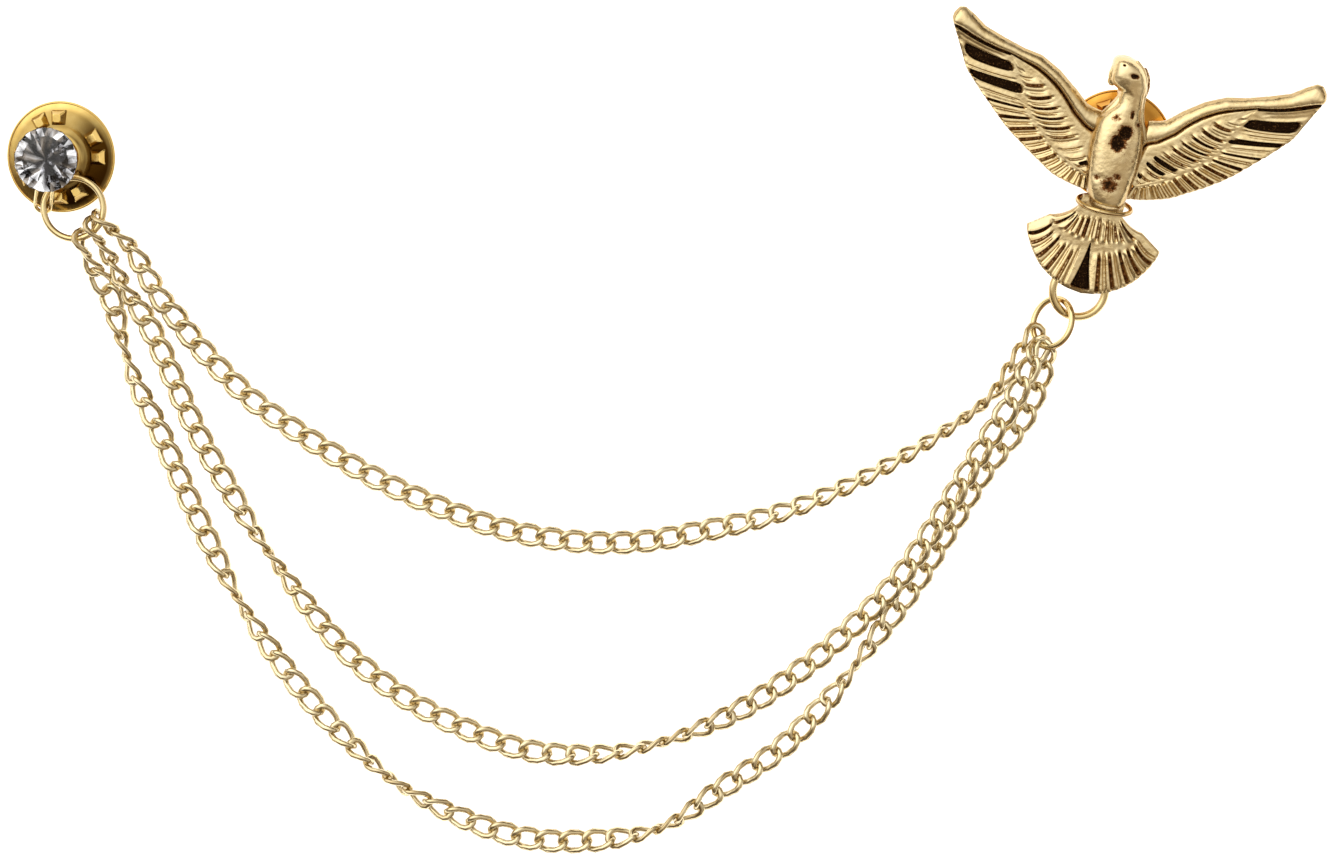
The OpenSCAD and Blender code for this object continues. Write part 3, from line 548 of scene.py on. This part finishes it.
beak = [(-1.7, 7.9, 1.5, 0.8), (-1.95, 7.2, 1.6, 0.85), (-2.15, 6.6, 1.6, 0.72), (-2.3, 6.25, 1.6, 0.5)]
nape = [(-0.2, 8.7, 1.9, 0.2), (0.5, 8.0, 1.9, 0.26), (0.9, 7.2, 1.9, 0.28), (1.1, 6.3, 1.8, 0.28),
        (1.2, 5.3, 1.75, 0.28), (1.25, 4.2, 1.75, 0.28), (1.5, 3.0, 1.7, 0.3), (1.95, 1.9, 1.55, 0.32),
        (2.3, 1.0, 1.35, 0.32)]
ruff = [(0.75, 7.9, 0.7, 0.35), (1.1, 7.2, 0.7, 0.42), (1.3, 6.3, 0.7, 0.42), (1.25, 5.4, 0.7, 0.35)]
shoulder = [(-0.95, 4.9, 1.7, 0.45), (-1.35, 3.9, 1.75, 0.6), (-1.9, 2.95, 1.6, 0.65),
            (-2.5, 1.9, 1.3, 0.55)]
shaped = []
# The ruff along the nape is painted dark all over, as shade
for surface in torso() + [fold(beak, 24), fold(nape, 40), fold(ruff, 24, 0.6), fold(shoulder, 30)]:
    local = sided(surface)
    # The painted shade down the steep sides is weaker on the sides of the neck and head than on the body's
    local[..., 4] *= np.interp(local[..., 1], [2.5, 5.5], [1.0, 0.4])
    local[..., :2] *= cast_scale
    shaped.append(placed(local, bird_at, bird_ways))
made = piece("body_and_head", "brooch", shaped, pale_plate, ("dark", "side"), crease=60)
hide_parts("bird")

# Tail staple: a short brass wire bent to a U and gold plated, with both legs let into the back of the
# tail. The tail ring hangs from it.
gold_wire, tree, shader = finish_named("gold_plated_wire", Metallic=1.0)
spot = add(tree, "ShaderNodeTexCoord").outputs["Object"]
# Drawn and plated wire: nearly smooth, its colour drifting over a millimetre or two, with painted shade
# that keeps its two faces bright and makes it browner round its outer and inner sides
drift = add(tree, "ShaderNodeTexNoise", {"Vector": spot, "Scale": 500.0, "Detail": 2.0}).outputs["Fac"]
rubs = add(tree, "ShaderNodeTexNoise", {"Vector": spot, "Scale": 6000.0, "Detail": 2.0}).outputs["Fac"]
tone = add(tree, "ShaderNodeMix", {"Factor": drift, 6: linear("#e2c686"), 7: linear("#f5e4b6")},
           data_type="RGBA").outputs[2]
side = add(tree, "ShaderNodeAttribute", attribute_name="side").outputs["Fac"]
tone = add(tree, "ShaderNodeMix", {"Factor": side, 6: tone, 7: linear("#80551f")},
           data_type="RGBA").outputs[2]
tree.links.new(tone, shader.inputs["Base Color"])
rough = add(tree, "ShaderNodeMapRange", {"Value": rubs, "To Min": 0.12, "To Max": 0.26}).outputs[0]
tree.links.new(rough, shader.inputs["Roughness"])
soft = add(tree, "ShaderNodeBump", {"Height": rubs, "Strength": 0.1, "Distance": 0.00004}).outputs[0]
tree.links.new(soft, shader.inputs["Normal"])


def unit_way(v):
    """A direction of length one."""
    v = np.asarray(v, float)
    return v / np.linalg.norm(v, axis=-1, keepdims=True)


def heading(turn, rise):
    """Direction at a heading from +Y towards +X and a rise above the surface."""
    h, r = radians(turn), radians(rise)
    return np.array([sin(h) * cos(r), cos(h) * cos(r), sin(r)])


def square_to(a, b):
    """The part of a at right angles to b, of length one."""
    a, b = np.asarray(a, float), np.asarray(b, float)
    return unit_way(a - b * (a @ b))


def side_shaded(wire):
    """A swept round wire with its mark for painted shade down its sides: 1 where the profile's angle faces
    in or out, down to 0 on the two faces between, as (1 - |sin a|) to the 1.5."""
    a = np.linspace(0, 2 * pi, wire.shape[1])
    mark = np.broadcast_to((1 - abs(np.sin(a))) ** 1.5, wire.shape[:2])
    return np.concatenate([wire, mark[..., None]], -1)


def staple(at, across, up, radius, wire, leg, sides=14):
    """Wire bent to a U: half a circle below the middle and a straight leg up at each side, capped."""
    a = np.linspace(pi, 2 * pi, 25)
    arc = np.stack([np.cos(a), np.sin(a)], -1) * radius
    plan = np.concatenate([[[-radius, leg]] * 2, arc, [[radius, leg]] * 2])
    path = np.asarray(at) + plan[:, :1] * across + plan[:, 1:] * up
    lean = np.concatenate([[[-1.0, 0]] * 2, arc / radius, [[1.0, 0]] * 2])
    out = lean[:, :1] * across + lean[:, 1:] * up
    size = [0, 1] + [1] * len(arc) + [1, 0]
    side = np.broadcast_to(np.cross(across, up), path.shape)
    return side_shaded(sweep(path, out, side, circle(sides, wire), size))


tail_ring_at = centring + [42.5, 14.05, 3.05]
tail_ring_a = heading(102, -6)
tail_ring_b = square_to(heading(12, 12), tail_ring_a)
tail_ring_radius = 2.7
lug_at = tail_ring_at + tail_ring_radius * tail_ring_b
lug_radius, lug_wire, lug_leg = 0.86, 0.3, 2.1
lug = staple(lug_at, bird_ways[1], bird_ways[2], lug_radius, lug_wire, lug_leg)
made = piece("tail_staple", "brooch", [lug], gold_wire, ("side",))
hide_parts("bird")

# Pin: a turned brass post with a slim pointed needle, gold plated. Its round pad is soldered behind the
# body, and its needle goes through the cloth into the clutch.
needle_radius, post_radius = 0.48, 0.65
pad_low = cloth_gap - 0.42
pad_form = [(2.4, 0), (2.48, 0.05), (2.5, 0.12), (2.5, 0.4), (0, 0.4)]


def turned(profile, at, ways, sides=64):
    """A profile of radius and height turned round the third direction."""
    profile = np.asarray(profile, float)
    plan = profile[:, None, :1] * circle(sides)[None]
    height = np.broadcast_to(profile[:, None, 1:], (len(profile), sides + 1, 1))
    return placed(np.concatenate([plan, height], -1), at, ways)


def post_profile(foot):
    """Needle with its rounded point, the thicker root above it and the solder fillet under the foot."""
    return [(0, -4.2), (0.12, -4.18), (0.3, -4.0), (needle_radius, -3.5), (needle_radius, 0.7),
            (post_radius, 0.78), (post_radius, foot - 0.2), (0.72, foot - 0.08), (0.9, foot)]


post_at = bird_at + bird_ways[1] * post_v - bird_ways[2] * cloth_gap
post_and_pad = post_profile(pad_low) + [(radius, pad_low + up) for radius, up in pad_form]
made = piece("pin_post", "brooch", [turned(post_and_pad, post_at, bird_ways)], gold_wire, crease=40)
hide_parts("bird_pin")


# Waist ring: a thin plated wire bent round the casting between the wings and the tail, with its two
# cut ends meeting behind.
waist_radius, waist_wire, waist_lean, waist_seam = 2.75, 0.25, 100, 100


def wire_ring(at, a, b, radius, wire, seam, gap=0.05, sides=16):
    """Round wire bent to a ring in the plane of a and b, its cut ends a small gap apart at the seam."""
    half = gap / 2 / radius
    last = 2 * pi - half
    turn = radians(seam) + np.concatenate([[half] * 3, np.linspace(half, last, 89), [last] * 3])
    turn[[2, -3]] += [0.04 / radius, -0.04 / radius]
    turn = np.sort(turn)
    out = np.cos(turn)[:, None] * a + np.sin(turn)[:, None] * b
    size = np.ones(len(turn))
    size[[0, 1, -2, -1]] = [0, 0.85, 0.85, 0]
    side = np.broadcast_to(np.cross(a, b), out.shape)
    return side_shaded(sweep(at + radius * out, out, side, circle(sides, wire), size))


waist_at = bird_at + np.array([-0.2, -6.4, 0.72]) @ bird_ways
waist_b = np.array([0, cos(radians(waist_lean)), sin(radians(waist_lean))]) @ bird_ways
waist_ring = wire_ring(waist_at, bird_ways[0], waist_b, waist_radius, waist_wire, waist_seam)
made = piece("waist_ring_wire", "brooch", [waist_ring], gold_wire, ("side",))
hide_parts("waist_ring")

# Jump rings: plated wire bent round and closed by hand. The thick one hangs from the tail's staple, the
# next gathers the chains below it, and the last holds the chains' other ends at the stud.
chain_ring_a = heading(11, -6)
chain_ring_b = square_to(heading(101, 45), chain_ring_a)
stud_ring_a = unit_way([1, 0, 0.1])
stud_ring_b = square_to(unit_way([0.009, 1, 0.09]), stud_ring_a)
for name, at, a, b, radius, wire, seam in (
        ("tail_ring", tail_ring_at, tail_ring_a, tail_ring_b, tail_ring_radius, 0.42, 250),
        ("chain_ring", centring + [39.85, 10.8, 2.25], chain_ring_a, chain_ring_b, 2.54, 0.33, 30),
        ("stud_ring", centring + [-60.2, 22.4, 5.5], stud_ring_a, stud_ring_b, 3.1, 0.34, 285)):
    made = piece(name + "_wire", "brooch", [wire_ring(at, a, b, radius, wire, seam)], gold_wire, ("side",))
    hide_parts(name)

# Chains: three lengths of curb chain. Each link is an oval of soldered wire, twisted so that the chain
# lies flat, hooked through its neighbours, and the chain turns over slowly as it drapes.
short_route = [[-57, 20.9, 5.5, 85], [-54.9, 18.9, 4.6, 65], [-53.4, 16.6, 4.1, 30], [-51.8, 13.6, 2.9, 25],
               [-50.2, 11.5, 2, 10], [-47.4, 7.9, 0.8, 0], [-42.5, 3, 0.65, 0], [-36.6, -1.1, 0.65, 0],
               [-30.2, -4.9, 0.65, 0], [-23.7, -7.9, 0.65, 0], [-16.9, -10.3, 0.65, 0],
               [-9.8, -11.6, 0.65, 0], [-2.6, -11.7, 0.65, 0], [4.5, -10.5, 0.75, -15],
               [11.9, -8.7, 1, -45], [18.7, -6, 1.1, -60], [25.5, -2.4, 1.15, -70], [31.5, 1.5, 1.2, -90],
               [34.1, 3.8, 1.3, -105], [35.8, 6.2, 1.1, -130], [37.8, 9.2, 1, -140]]
middle_route = [[-58.1, 20, 5.5, 95], [-56.7, 17.4, 4, 60], [-55.2, 14.3, 2.8, 65], [-53.2, 11, 1.3, 5],
                [-51.4, 7.2, 0.75, 0], [-48.2, -0.1, 0.65, 0], [-44.6, -6.5, 0.75, -20],
                [-41.7, -11.2, 1.1, -75], [-37.3, -17.5, 1.1, -145], [-32.6, -23.1, 0.7, -180],
                [-26.9, -27.6, 0.65, -180], [-20.6, -30.9, 0.65, -180], [-13.9, -33.2, 0.7, -190],
                [-6.6, -33.5, 1, -230], [0.4, -32.1, 1.15, -280], [7.1, -29.4, 0.9, -335],
                [13.3, -25.5, 0.7, -360], [19, -20.8, 0.9, -360], [24, -15.6, 1.85, -360],
                [28.3, -9.3, 2.2, -360], [31.1, -4.6, 2.2, -380], [33.7, -0.5, 2.4, -370],
                [35.7, 2.7, 2.9, -370], [37, 5.3, 2.7, -365], [38.4, 8, 2, -360]]
long_route = [[-59.4, 18.8, 4.85, 100], [-58.6, 16.8, 3.4, 55], [-57.3, 14.3, 1.5, 0], [-56.7, 13, 1.35, -10],
              [-54.7, 5.6, 1.3, -125], [-51.8, -0.6, 0.75, -170], [-48.9, -7.3, 0.65, -180],
              [-45.8, -13.7, 0.95, -215], [-42.2, -20.2, 1.05, -310], [-37.9, -26.2, 0.75, -355],
              [-33.3, -31.3, 0.95, -395], [-27.6, -36.4, 1.1, -455], [-21.3, -39.9, 0.85, -515],
              [-14.2, -42.2, 0.65, -540], [-6.9, -42.4, 0.85, -560], [0.1, -40.9, 1.15, -640],
              [6.1, -37, 0.8, -705], [12.1, -32.9, 0.7, -720], [17, -27.8, 1.1, -755],
              [21.5, -22, 1, -860], [25.7, -16.2, 0.75, -890], [29.4, -10.2, 0.65, -890],
              [32.9, -4.4, 1.05, -890], [36.9, 0.8, 0.7, -890], [38.8, 5.4, 1, -895],
              [39.1, 7.6, 1.9, -905]]
link_pitch, link_length, link_width, link_twist = 2.45, 3.0, 1.95, -46
link_broad, link_thin = 0.33, 0.28
around_link, around_wire = 14, 8
# How far ahead and behind along the route a link takes its direction from
link_look = 0.6


def link_form():
    """One link in its own frame: a squared oval, each half axis times the 0.8th power of the sine or
    cosine, turned about its length by up to the twist, with an oval wire along it. Its mark for painted
    shade down the sides is 1 less how far the wire's skin faces out of the flat of the chain, to the 1.5."""
    t = np.linspace(0, 2 * pi, around_link + 1)
    c, s = np.cos(t), np.sin(t)
    x = link_length / 2 * np.sign(c) * abs(c) ** 0.8
    y = link_width / 2 * np.sign(s) * abs(s) ** 0.8
    a = radians(link_twist) * x / (link_length / 2)
    path = np.stack([x, y * np.cos(a), y * np.sin(a)], -1)
    path[-1] = path[0]
    along = unit_way(np.roll(path[:-1], -1, 0) - np.roll(path[:-1], 1, 0))
    along = np.vstack([along, along[:1]])
    up = np.stack([0 * a, -np.sin(a), np.cos(a)], -1)
    up[-1] = up[0]
    up = unit_way(up - along * (up * along).sum(-1, keepdims=True))
    across, a = np.cross(along, up), np.linspace(0, 2 * pi, around_wire + 1)
    shape = sweep(path, across, up, circle(around_wire) * [link_broad, link_thin])
    shape[:, -1] = shape[:, 0]
    face = abs(across[:, 2:] * np.cos(a) + up[:, 2:] * np.sin(a))
    return shape, (1 - np.clip(face, 0, 1)) ** 1.5


def curb_chain(rows):
    """Links at equal steps along a smooth route, each turned about the route by the roll given there and
    raised where it would reach below the surface."""
    line = through(rows, np.arange(0, len(rows) - 1 + 1e-9, 1 / 16))
    run = np.concatenate([[0], np.cumsum(np.linalg.norm(np.diff(line[:, :3], axis=0), axis=1))])
    at = np.linspace(0, run[-1], round(run[-1] / link_pitch) + 1)

    def along_route(s):
        """Places and rolls at distances along the route."""
        return np.stack([np.interp(s, run, line[:, k]) for k in range(4)], -1)

    spot, ahead, behind = along_route(at), along_route(at + link_look), along_route(at - link_look)
    x = unit_way(ahead[:, :3] - behind[:, :3])
    side = unit_way(np.stack([-x[:, 1], x[:, 0], 0 * x[:, 0]], -1))
    turn = np.radians(spot[:, 3:])
    y = np.cos(turn) * side + np.sin(turn) * np.cross(x, side)
    ways = np.stack([x, y, np.cross(x, y)], 1)
    form, mark = link_form()
    links = np.einsum("ijk,lkm->lijm", form, ways) + (centring + spot[:, :3])[:, None, None]
    links[..., 2] += np.maximum(0.01 - links[..., 2].min((1, 2)), 0)[:, None, None]
    mark = np.broadcast_to(mark[..., None], links.shape[:3] + (1,))
    return list(np.concatenate([links, mark], -1))


# Curb chain wire: pale gold flash over brass, painted shade browner down its sides than on the chain's
# two flat faces, its tone drifting over 2 mm and its gloss broken by faint draw marks of 0.2 mm
chain_plate, tree, shader = finish_named("pale_gold_plated_chain", Metallic=1.0)
spot = add(tree, "ShaderNodeTexCoord").outputs["Object"]
drift = add(tree, "ShaderNodeTexNoise", {"Vector": spot, "Scale": 450.0, "Detail": 3.0}).outputs["Fac"]
marks = add(tree, "ShaderNodeTexNoise", {"Vector": spot, "Scale": 5000.0, "Detail": 2.0}).outputs["Fac"]
tone = add(tree, "ShaderNodeMix", {"Factor": drift, 6: linear("#e0cd9e"), 7: linear("#f3e8c8")},
           data_type="RGBA").outputs[2]
side = add(tree, "ShaderNodeAttribute", attribute_name="side").outputs["Fac"]
tone = add(tree, "ShaderNodeMix", {"Factor": side, 6: tone, 7: linear("#8c6a34")},
           data_type="RGBA").outputs[2]
tree.links.new(tone, shader.inputs["Base Color"])
rough = add(tree, "ShaderNodeMapRange", {"Value": marks, "To Min": 0.12, "To Max": 0.26}).outputs[0]
tree.links.new(rough, shader.inputs["Roughness"])

for name, rows in (("chain_short", short_route), ("chain_middle", middle_route), ("chain_long", long_route)):
    made = piece(name + "_links", "brooch", curb_chain(rows), chain_plate, ("side",), crease=180)
    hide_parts(name)

# Stud: a turned brass cup on its own post, gold plated, which the stone is pressed into. A wire eye is
# soldered under it for the chains' ring.
stud_turn, stud_tilt = -55, 11
stud_ways = tilted(stud_turn, stud_tilt)
stud_at = centring + [-61.75, 27.66, clutch_depth * stud_ways[2, 2] + housing_half * stud_ways[1, 2]]
cup_foot = 2.6
cup_form = [(2.05, 0), (2.2, 0.06), (2.24, 0.3), (2.4, 0.6), (3.0, 1.7), (3.12, 1.85), (3.12, 1.92),
            (3.02, 1.96), (2.93, 1.9), (0.32, 0.53), (0, 0.53)]
cup = post_profile(cup_foot) + [(radius, cup_foot + up) for radius, up in cup_form]
eye_radius, eye_thick, eye_leg = 0.8, 0.2, 3.7
eye_across = unit_way([0.967, -0.256, 0])
eye_up = unit_way([0.181, 0.684, 0.707])
eye_wire = staple(centring + [-63.4, 22.65, 5], eye_across, eye_up, eye_radius, eye_thick, eye_leg)
made = piece("stud_cup", "brooch", [turned(cup, stud_at, stud_ways), eye_wire[..., :3]], gold_wire, crease=35)
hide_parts("stud_setting")

# Stone: a round cut crystal with a foiled back, pressed into the cup. Eight kite facets, eight star
# facets and sixteen girdle facets lie round its table, and long narrow ones run to its point behind.
# The folded star under the crown is the foil as the cut shows it from the front; its dark heart is a
# painted reflection.
stone_radius, table_radius, shoulder_radius, point_radius = 3.3, 1.9, 2.62, 0.85
table_at, girdle_top, girdle_low, point_at = 5.7, 4.94, 4.78, 3.25
heart_radius, star_radius, star_at = 1.15, 2.3, 4.95


def ring_of(count, radius, height, offset=0.0):
    """Points evenly round the stone's axis."""
    a = 2 * pi * (np.arange(count) + offset) / count
    return np.stack([radius * np.cos(a), radius * np.sin(a), height + 0 * a], -1)


def stone():
    """Points in rings: table, shoulder, girdle twice, lower ring and point, then the foil's star: its
    middle, its ring and its edge. The shoulder and the lower ring are at the height where the kites
    that run from table or point to girdle stay flat; the star's folds rise and fall by cosines."""
    slope = (table_at - girdle_top) / (stone_radius - table_radius)
    shoulder = table_at - slope * (shoulder_radius * cos(pi / 8) - table_radius)
    lower = point_at + (girdle_low - point_at) / stone_radius * point_radius * cos(pi / 8)
    k, h = np.arange(32), np.arange(16)
    folds = star_at + 0.06 * np.cos(pi * k) + 0.07 * np.cos(2.3 * k + 0.7) - 0.02
    heart = star_at - 0.22 + 0.05 * np.cos(pi * h) + 0.03 * np.cos(1.7 * h)
    hem = girdle_low - 0.04 + 0.09 * np.cos(pi * k / 2 + 0.4)
    points = np.concatenate([ring_of(8, table_radius, table_at), ring_of(8, shoulder_radius, shoulder, 0.5),
                             ring_of(16, stone_radius, girdle_top), ring_of(16, stone_radius, girdle_low),
                             ring_of(8, point_radius, lower, 0.5), [[0, 0, point_at]],
                             [[0, 0, star_at - 0.5]], ring_of(16, heart_radius, heart, 0.3),
                             ring_of(32, star_radius, folds), ring_of(32, stone_radius - 0.08, hem, 0.5)])
    crown, back, star = [list(range(8))], [], []
    for k in range(8):
        n, b, m = (k + 1) % 8, (k - 1) % 8, 16 + (2 * k + 1) % 16
        g, h = 16 + 2 * k, 16 + (2 * k + 2) % 16
        crown += [[k, 8 + k, n], [k, 8 + b, g, 8 + k], [8 + k, g, m], [8 + k, m, h]]
        crown += [[g, g + 16, m + 16, m], [m, m + 16, h + 16, h]]
        back += [[48 + k, m + 16, g + 16], [48 + k, h + 16, m + 16], [56, 48 + k, g + 16, 48 + b]]
    for k in range(16):
        n, a, b, c = 58 + (k + 1) % 16, 74 + 2 * k, 75 + 2 * k, 74 + (2 * k + 2) % 32
        star += [[57, 58 + k, n], [58 + k, a, b], [58 + k, b, n], [n, b, c]]
        star += [[a, a + 32, b], [b, a + 32, b + 32], [b, b + 32, c], [c, b + 32, c + 32]]
    return points, crown, back + star


crystal, tree, shader = finish_named("cut_crystal", Base_Color=linear("#fbfcff"), Roughness=0.0, IOR=1.5,
                                     Transmission_Weight=1.0)
# Cut crystal glass: clear, its polish broken only by faint rub marks of 0.3 mm
spot = add(tree, "ShaderNodeTexCoord").outputs["Object"]
rubs = add(tree, "ShaderNodeTexNoise", {"Vector": spot, "Scale": 3000.0, "Detail": 2.0}).outputs["Fac"]
soft = add(tree, "ShaderNodeBump", {"Height": rubs, "Strength": 0.03, "Distance": 0.00002}).outputs[0]
tree.links.new(soft, shader.inputs["Normal"])
foil, tree, shader = finish_named("silver_foil_back", Metallic=1.0)
# Mirror coat painted on the back facets: bright silver and cloudy where it is thin, with painted dark
# reflections at its heart and on some of its folds
spot = add(tree, "ShaderNodeTexCoord").outputs["Object"]
cloud = add(tree, "ShaderNodeTexNoise", {"Vector": spot, "Scale": 900.0, "Detail": 2.0}).outputs["Fac"]
tone = add(tree, "ShaderNodeMix", {"Factor": cloud, 6: linear("#d2d2da"), 7: linear("#fbfbfd")},
           data_type="RGBA").outputs[2]
dark = add(tree, "ShaderNodeAttribute", attribute_name="dark").outputs["Fac"]
tone = add(tree, "ShaderNodeMix", {"Factor": dark, 6: tone, 7: linear("#1b161a")},
           data_type="RGBA").outputs[2]
tree.links.new(tone, shader.inputs["Base Color"])
rough = add(tree, "ShaderNodeMapRange", {"Value": cloud, "To Min": 0.03, "To Max": 0.12}).outputs[0]
tree.links.new(rough, shader.inputs["Roughness"])

points, crown, back = stone()
# Painted dark reflections on the foil, point by point: its middle is dark, and the points of its three
# rings take turns by cosines
turn = np.arange(32)
foil_dark = np.concatenate([np.zeros(57), [1.0], np.where(np.cos(2.1 * turn[:16]) > -0.5, 1.0, 0.0),
                            np.where(np.cos(2.6 * turn + 1) > 0, 0.95, 0.0),
                            np.where(np.cos(1.9 * turn) > 0.7, 0.6, 0.0)])
made = closed_object("cut_stone", "brooch", placed(points, stud_at, stud_ways), crown + back,
                     {"dark": foil_dark}, crystal, foil)
made.data.polygons.foreach_set("material_index", [0] * len(crown) + [1] * len(back))
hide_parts("stone")

# Clutches: each is a stamped brass disc with a rolled rim, a raised boss and eight square nubs that
# grip the cloth. A folded housing under it holds a bent strip spring with two finger loops.
disc_radius, rim_radius = 5.7, 0.14
rim = np.radians(np.linspace(120, -120, 13))
dome = np.linspace(3.0, 5.5, 14)
disc_profile = ([(0.6, -0.3), (0.6, 0.38), (0.68, 0.45), (2.1, 0.45), (2.3, 0.42), (2.5, 0.25), (2.75, 0.04)]
                + [(r, -0.62 * ((r - 3.0) / 2.5) ** 2) for r in dome]
                + [(disc_radius - rim_radius + rim_radius * cos(a), -0.68 + rim_radius * sin(a)) for a in rim]
                + [(5.2, -0.8), (4.4, -0.52), (3.0, -0.3), (0.6, -0.3)])
nub_half, nub_foot, nub_top, nub_place, nub_apart = 0.8, -0.15, 0.7, 4.0, 14
# The housing's bent sheet across the disc, the spring's two finger loops, and half a strip's thickness
housing_side, housing_top, housing_low, housing_bend = 2.15, -0.15, -3.75, 0.5
loop_out, loop_in, loop_height, loop_radius, loop_bend = 2.9, 1.3, -2.2, 1.65, 0.5
loop_half, strip_half = 1.85, 0.15


def nub(turn):
    """A square pyramid cut off where it is half as wide as its foot: its height falls with the larger of
    the distances from its two middle lines, taken as a soft maximum. Its foot is let into the disc."""
    s = np.linspace(-nub_half, nub_half, 21)
    x, y = np.meshgrid(s, s, indexing="ij")
    far = (abs(x) ** 12 + abs(y) ** 12) ** (1 / 12) / nub_half
    z = nub_foot + (nub_top - nub_foot) * np.clip((1 - far) / 0.5, 0, 1)
    c, d = cos(radians(turn)), sin(radians(turn))
    # Painted shade down the nub's slopes
    steep = 0.25 * np.clip((far - 0.5) / 0.05, 0, 1)
    top = np.stack([(nub_place + x) * c - y * d, (nub_place + x) * d + y * c, z, steep], -1)
    foot = top.copy()
    foot[..., 2] = nub_foot - 0.1
    sides = [np.stack([top[k], foot[k]], 1) for k in (0, -1)]
    sides += [np.stack([top[:, k], foot[:, k]], 1) for k in (0, -1)]
    return [top, foot] + sides


def strip(path, side, half_width, half_thick, closed):
    """Flat strip with eased corners, its middle along a path and its width along side."""
    ease, w, h = 0.07, half_width, half_thick
    profile = np.array([(-w + ease, -h), (w - ease, -h), (w, -h + ease), (w, h - ease), (w - ease, h),
                        (-w + ease, h), (-w, h - ease), (-w, -h + ease), (-w + ease, -h)])
    if closed:
        path = np.vstack([path, path[:1]])
        along = np.roll(path[:-1], -1, 0) - np.roll(path[:-1], 1, 0)
        along = np.vstack([along, along[:1]])
        size = None
    else:
        path = np.vstack([path[:1], path, path[-1:]])
        along = np.gradient(path, axis=0)
        along[[0, -1]] = along[[1, -2]]
        size = [0] + [1] * (len(path) - 2) + [0]
    side = np.broadcast_to(np.asarray(side, float), path.shape)
    return sweep(path, side, np.cross(side, unit_way(along)), profile, size)


def arc(mid, radius, start, stop, count=10):
    """Points round an arc in a plane, between two angles in degrees."""
    a = np.radians(np.linspace(start, stop, count))
    return np.stack([mid[0] + radius * np.cos(a), mid[1] + radius * np.sin(a)], -1)


def clutch(name, at, ways, turn, shade_turn, finish):
    """Makes a clutch's disc and spring on the axis of its post, its nubs in four pairs from a turn and
    its painted shade deepest at the side given, as the cosine of the angle from it."""
    nubs = [surface for q in range(4) for s in (-nub_apart, nub_apart) for surface in nub(turn + 90 * q + s)]
    corner = housing_side - housing_bend
    bend = np.vstack([[(-housing_side, housing_top)], arc((-corner, housing_low), housing_bend, 180, 270),
                      arc((corner, housing_low), housing_bend, 270, 360), [(housing_side, housing_top)]])
    bent_sheet = np.stack([0 * bend[:, 0], bend[:, 0], bend[:, 1]], -1)
    housing = strip(bent_sheet, (1, 0, 0), housing_half, strip_half, False)
    disc = turned(disc_profile, at, ways, 96)
    # Painted shade: thin all over the dish, from the boss to the rim, and deeper in a crescent at one side
    r, round_disc = np.array(disc_profile)[:, :1], np.linspace(0, 2 * pi, 97)
    inside = np.clip((5.2 - r) / 0.5, 0, 1) * np.clip((r - 2.2) / 0.3, 0, 1)
    shade_crescent = np.clip((5.5 - r) / 0.2, 0, 1) * np.clip((r - 2.6) / 1.2, 0, 1)
    shade_crescent = shade_crescent * np.clip(0.15 + 1.1 * np.cos(round_disc - radians(shade_turn)), 0, 1)
    disc = np.concatenate([disc, (0.5 * inside + 0.8 * shade_crescent)[..., None]], -1)
    # Painted shade on the housing under the disc, at half strength
    housing = np.concatenate([housing, np.full(housing.shape[:2] + (1,), 0.5)], -1)
    made = piece(name + "_plate", name, [disc] + [placed(surface, at, ways) for surface in nubs + [housing]],
                 finish, ("side",), crease=35)
    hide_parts(name + "_disc")
    reach = loop_radius - loop_bend
    loop = np.vstack([arc((loop_out, loop_height), loop_radius, -90, 90, 25),
                      arc((loop_in, loop_height + reach), loop_bend, 90, 180),
                      arc((loop_in, loop_height - reach), loop_bend, 180, 270)])
    loops = [strip(np.stack([s * loop[:, 0], 0 * loop[:, 0], loop[:, 1]], -1), (0, 1, 0), loop_half,
                   strip_half, True) for s in (-1, 1)]
    made = piece(name + "_strip", name, [placed(surface, at, ways) for surface in loops], finish, crease=35)
    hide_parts(name + "_spring")


def stamped_brass(name, deep, light, shade_tone):
    """Bright stamped brass: drawn smooth by the die, with orange-peel lumps of 1 mm that its colour
    drifts with between two tones, fine die marks of 0.1 mm that break its gloss, and a deeper tone
    painted on as shade over the dish, down the nubs' slopes and on the housing."""
    finish, tree, shader = finish_named(name, Metallic=1.0)
    spot = add(tree, "ShaderNodeTexCoord").outputs["Object"]
    peel = add(tree, "ShaderNodeTexNoise", {"Vector": spot, "Scale": 900.0, "Detail": 3.0}).outputs["Fac"]
    tone = add(tree, "ShaderNodeMix", {"Factor": peel, 6: linear(deep), 7: linear(light)},
               data_type="RGBA").outputs[2]
    side = add(tree, "ShaderNodeAttribute", attribute_name="side").outputs["Fac"]
    tone = add(tree, "ShaderNodeMix", {"Factor": side, 6: tone, 7: linear(shade_tone)},
               data_type="RGBA").outputs[2]
    tree.links.new(tone, shader.inputs["Base Color"])
    fine = add(tree, "ShaderNodeTexNoise", {"Vector": spot, "Scale": 7000.0, "Detail": 2.0}).outputs["Fac"]
    rough = add(tree, "ShaderNodeMapRange", {"Value": fine, "To Min": 0.1, "To Max": 0.25}).outputs[0]
    tree.links.new(rough, shader.inputs["Roughness"])
    soft = add(tree, "ShaderNodeBump", {"Height": peel, "Strength": 0.15, "Distance": 0.0001}).outputs[0]
    tree.links.new(soft, shader.inputs["Normal"])
    return finish


clutch("bird_clutch", post_at, bird_ways, 15, 250,
       stamped_brass("amber_gold_brass", "#c78a34", "#deab54", "#8a5212"))
clutch("stud_clutch", stud_at, stud_ways, 69, 25,
       stamped_brass("bright_gold_brass", "#cda552", "#ead08a", "#442a08"))
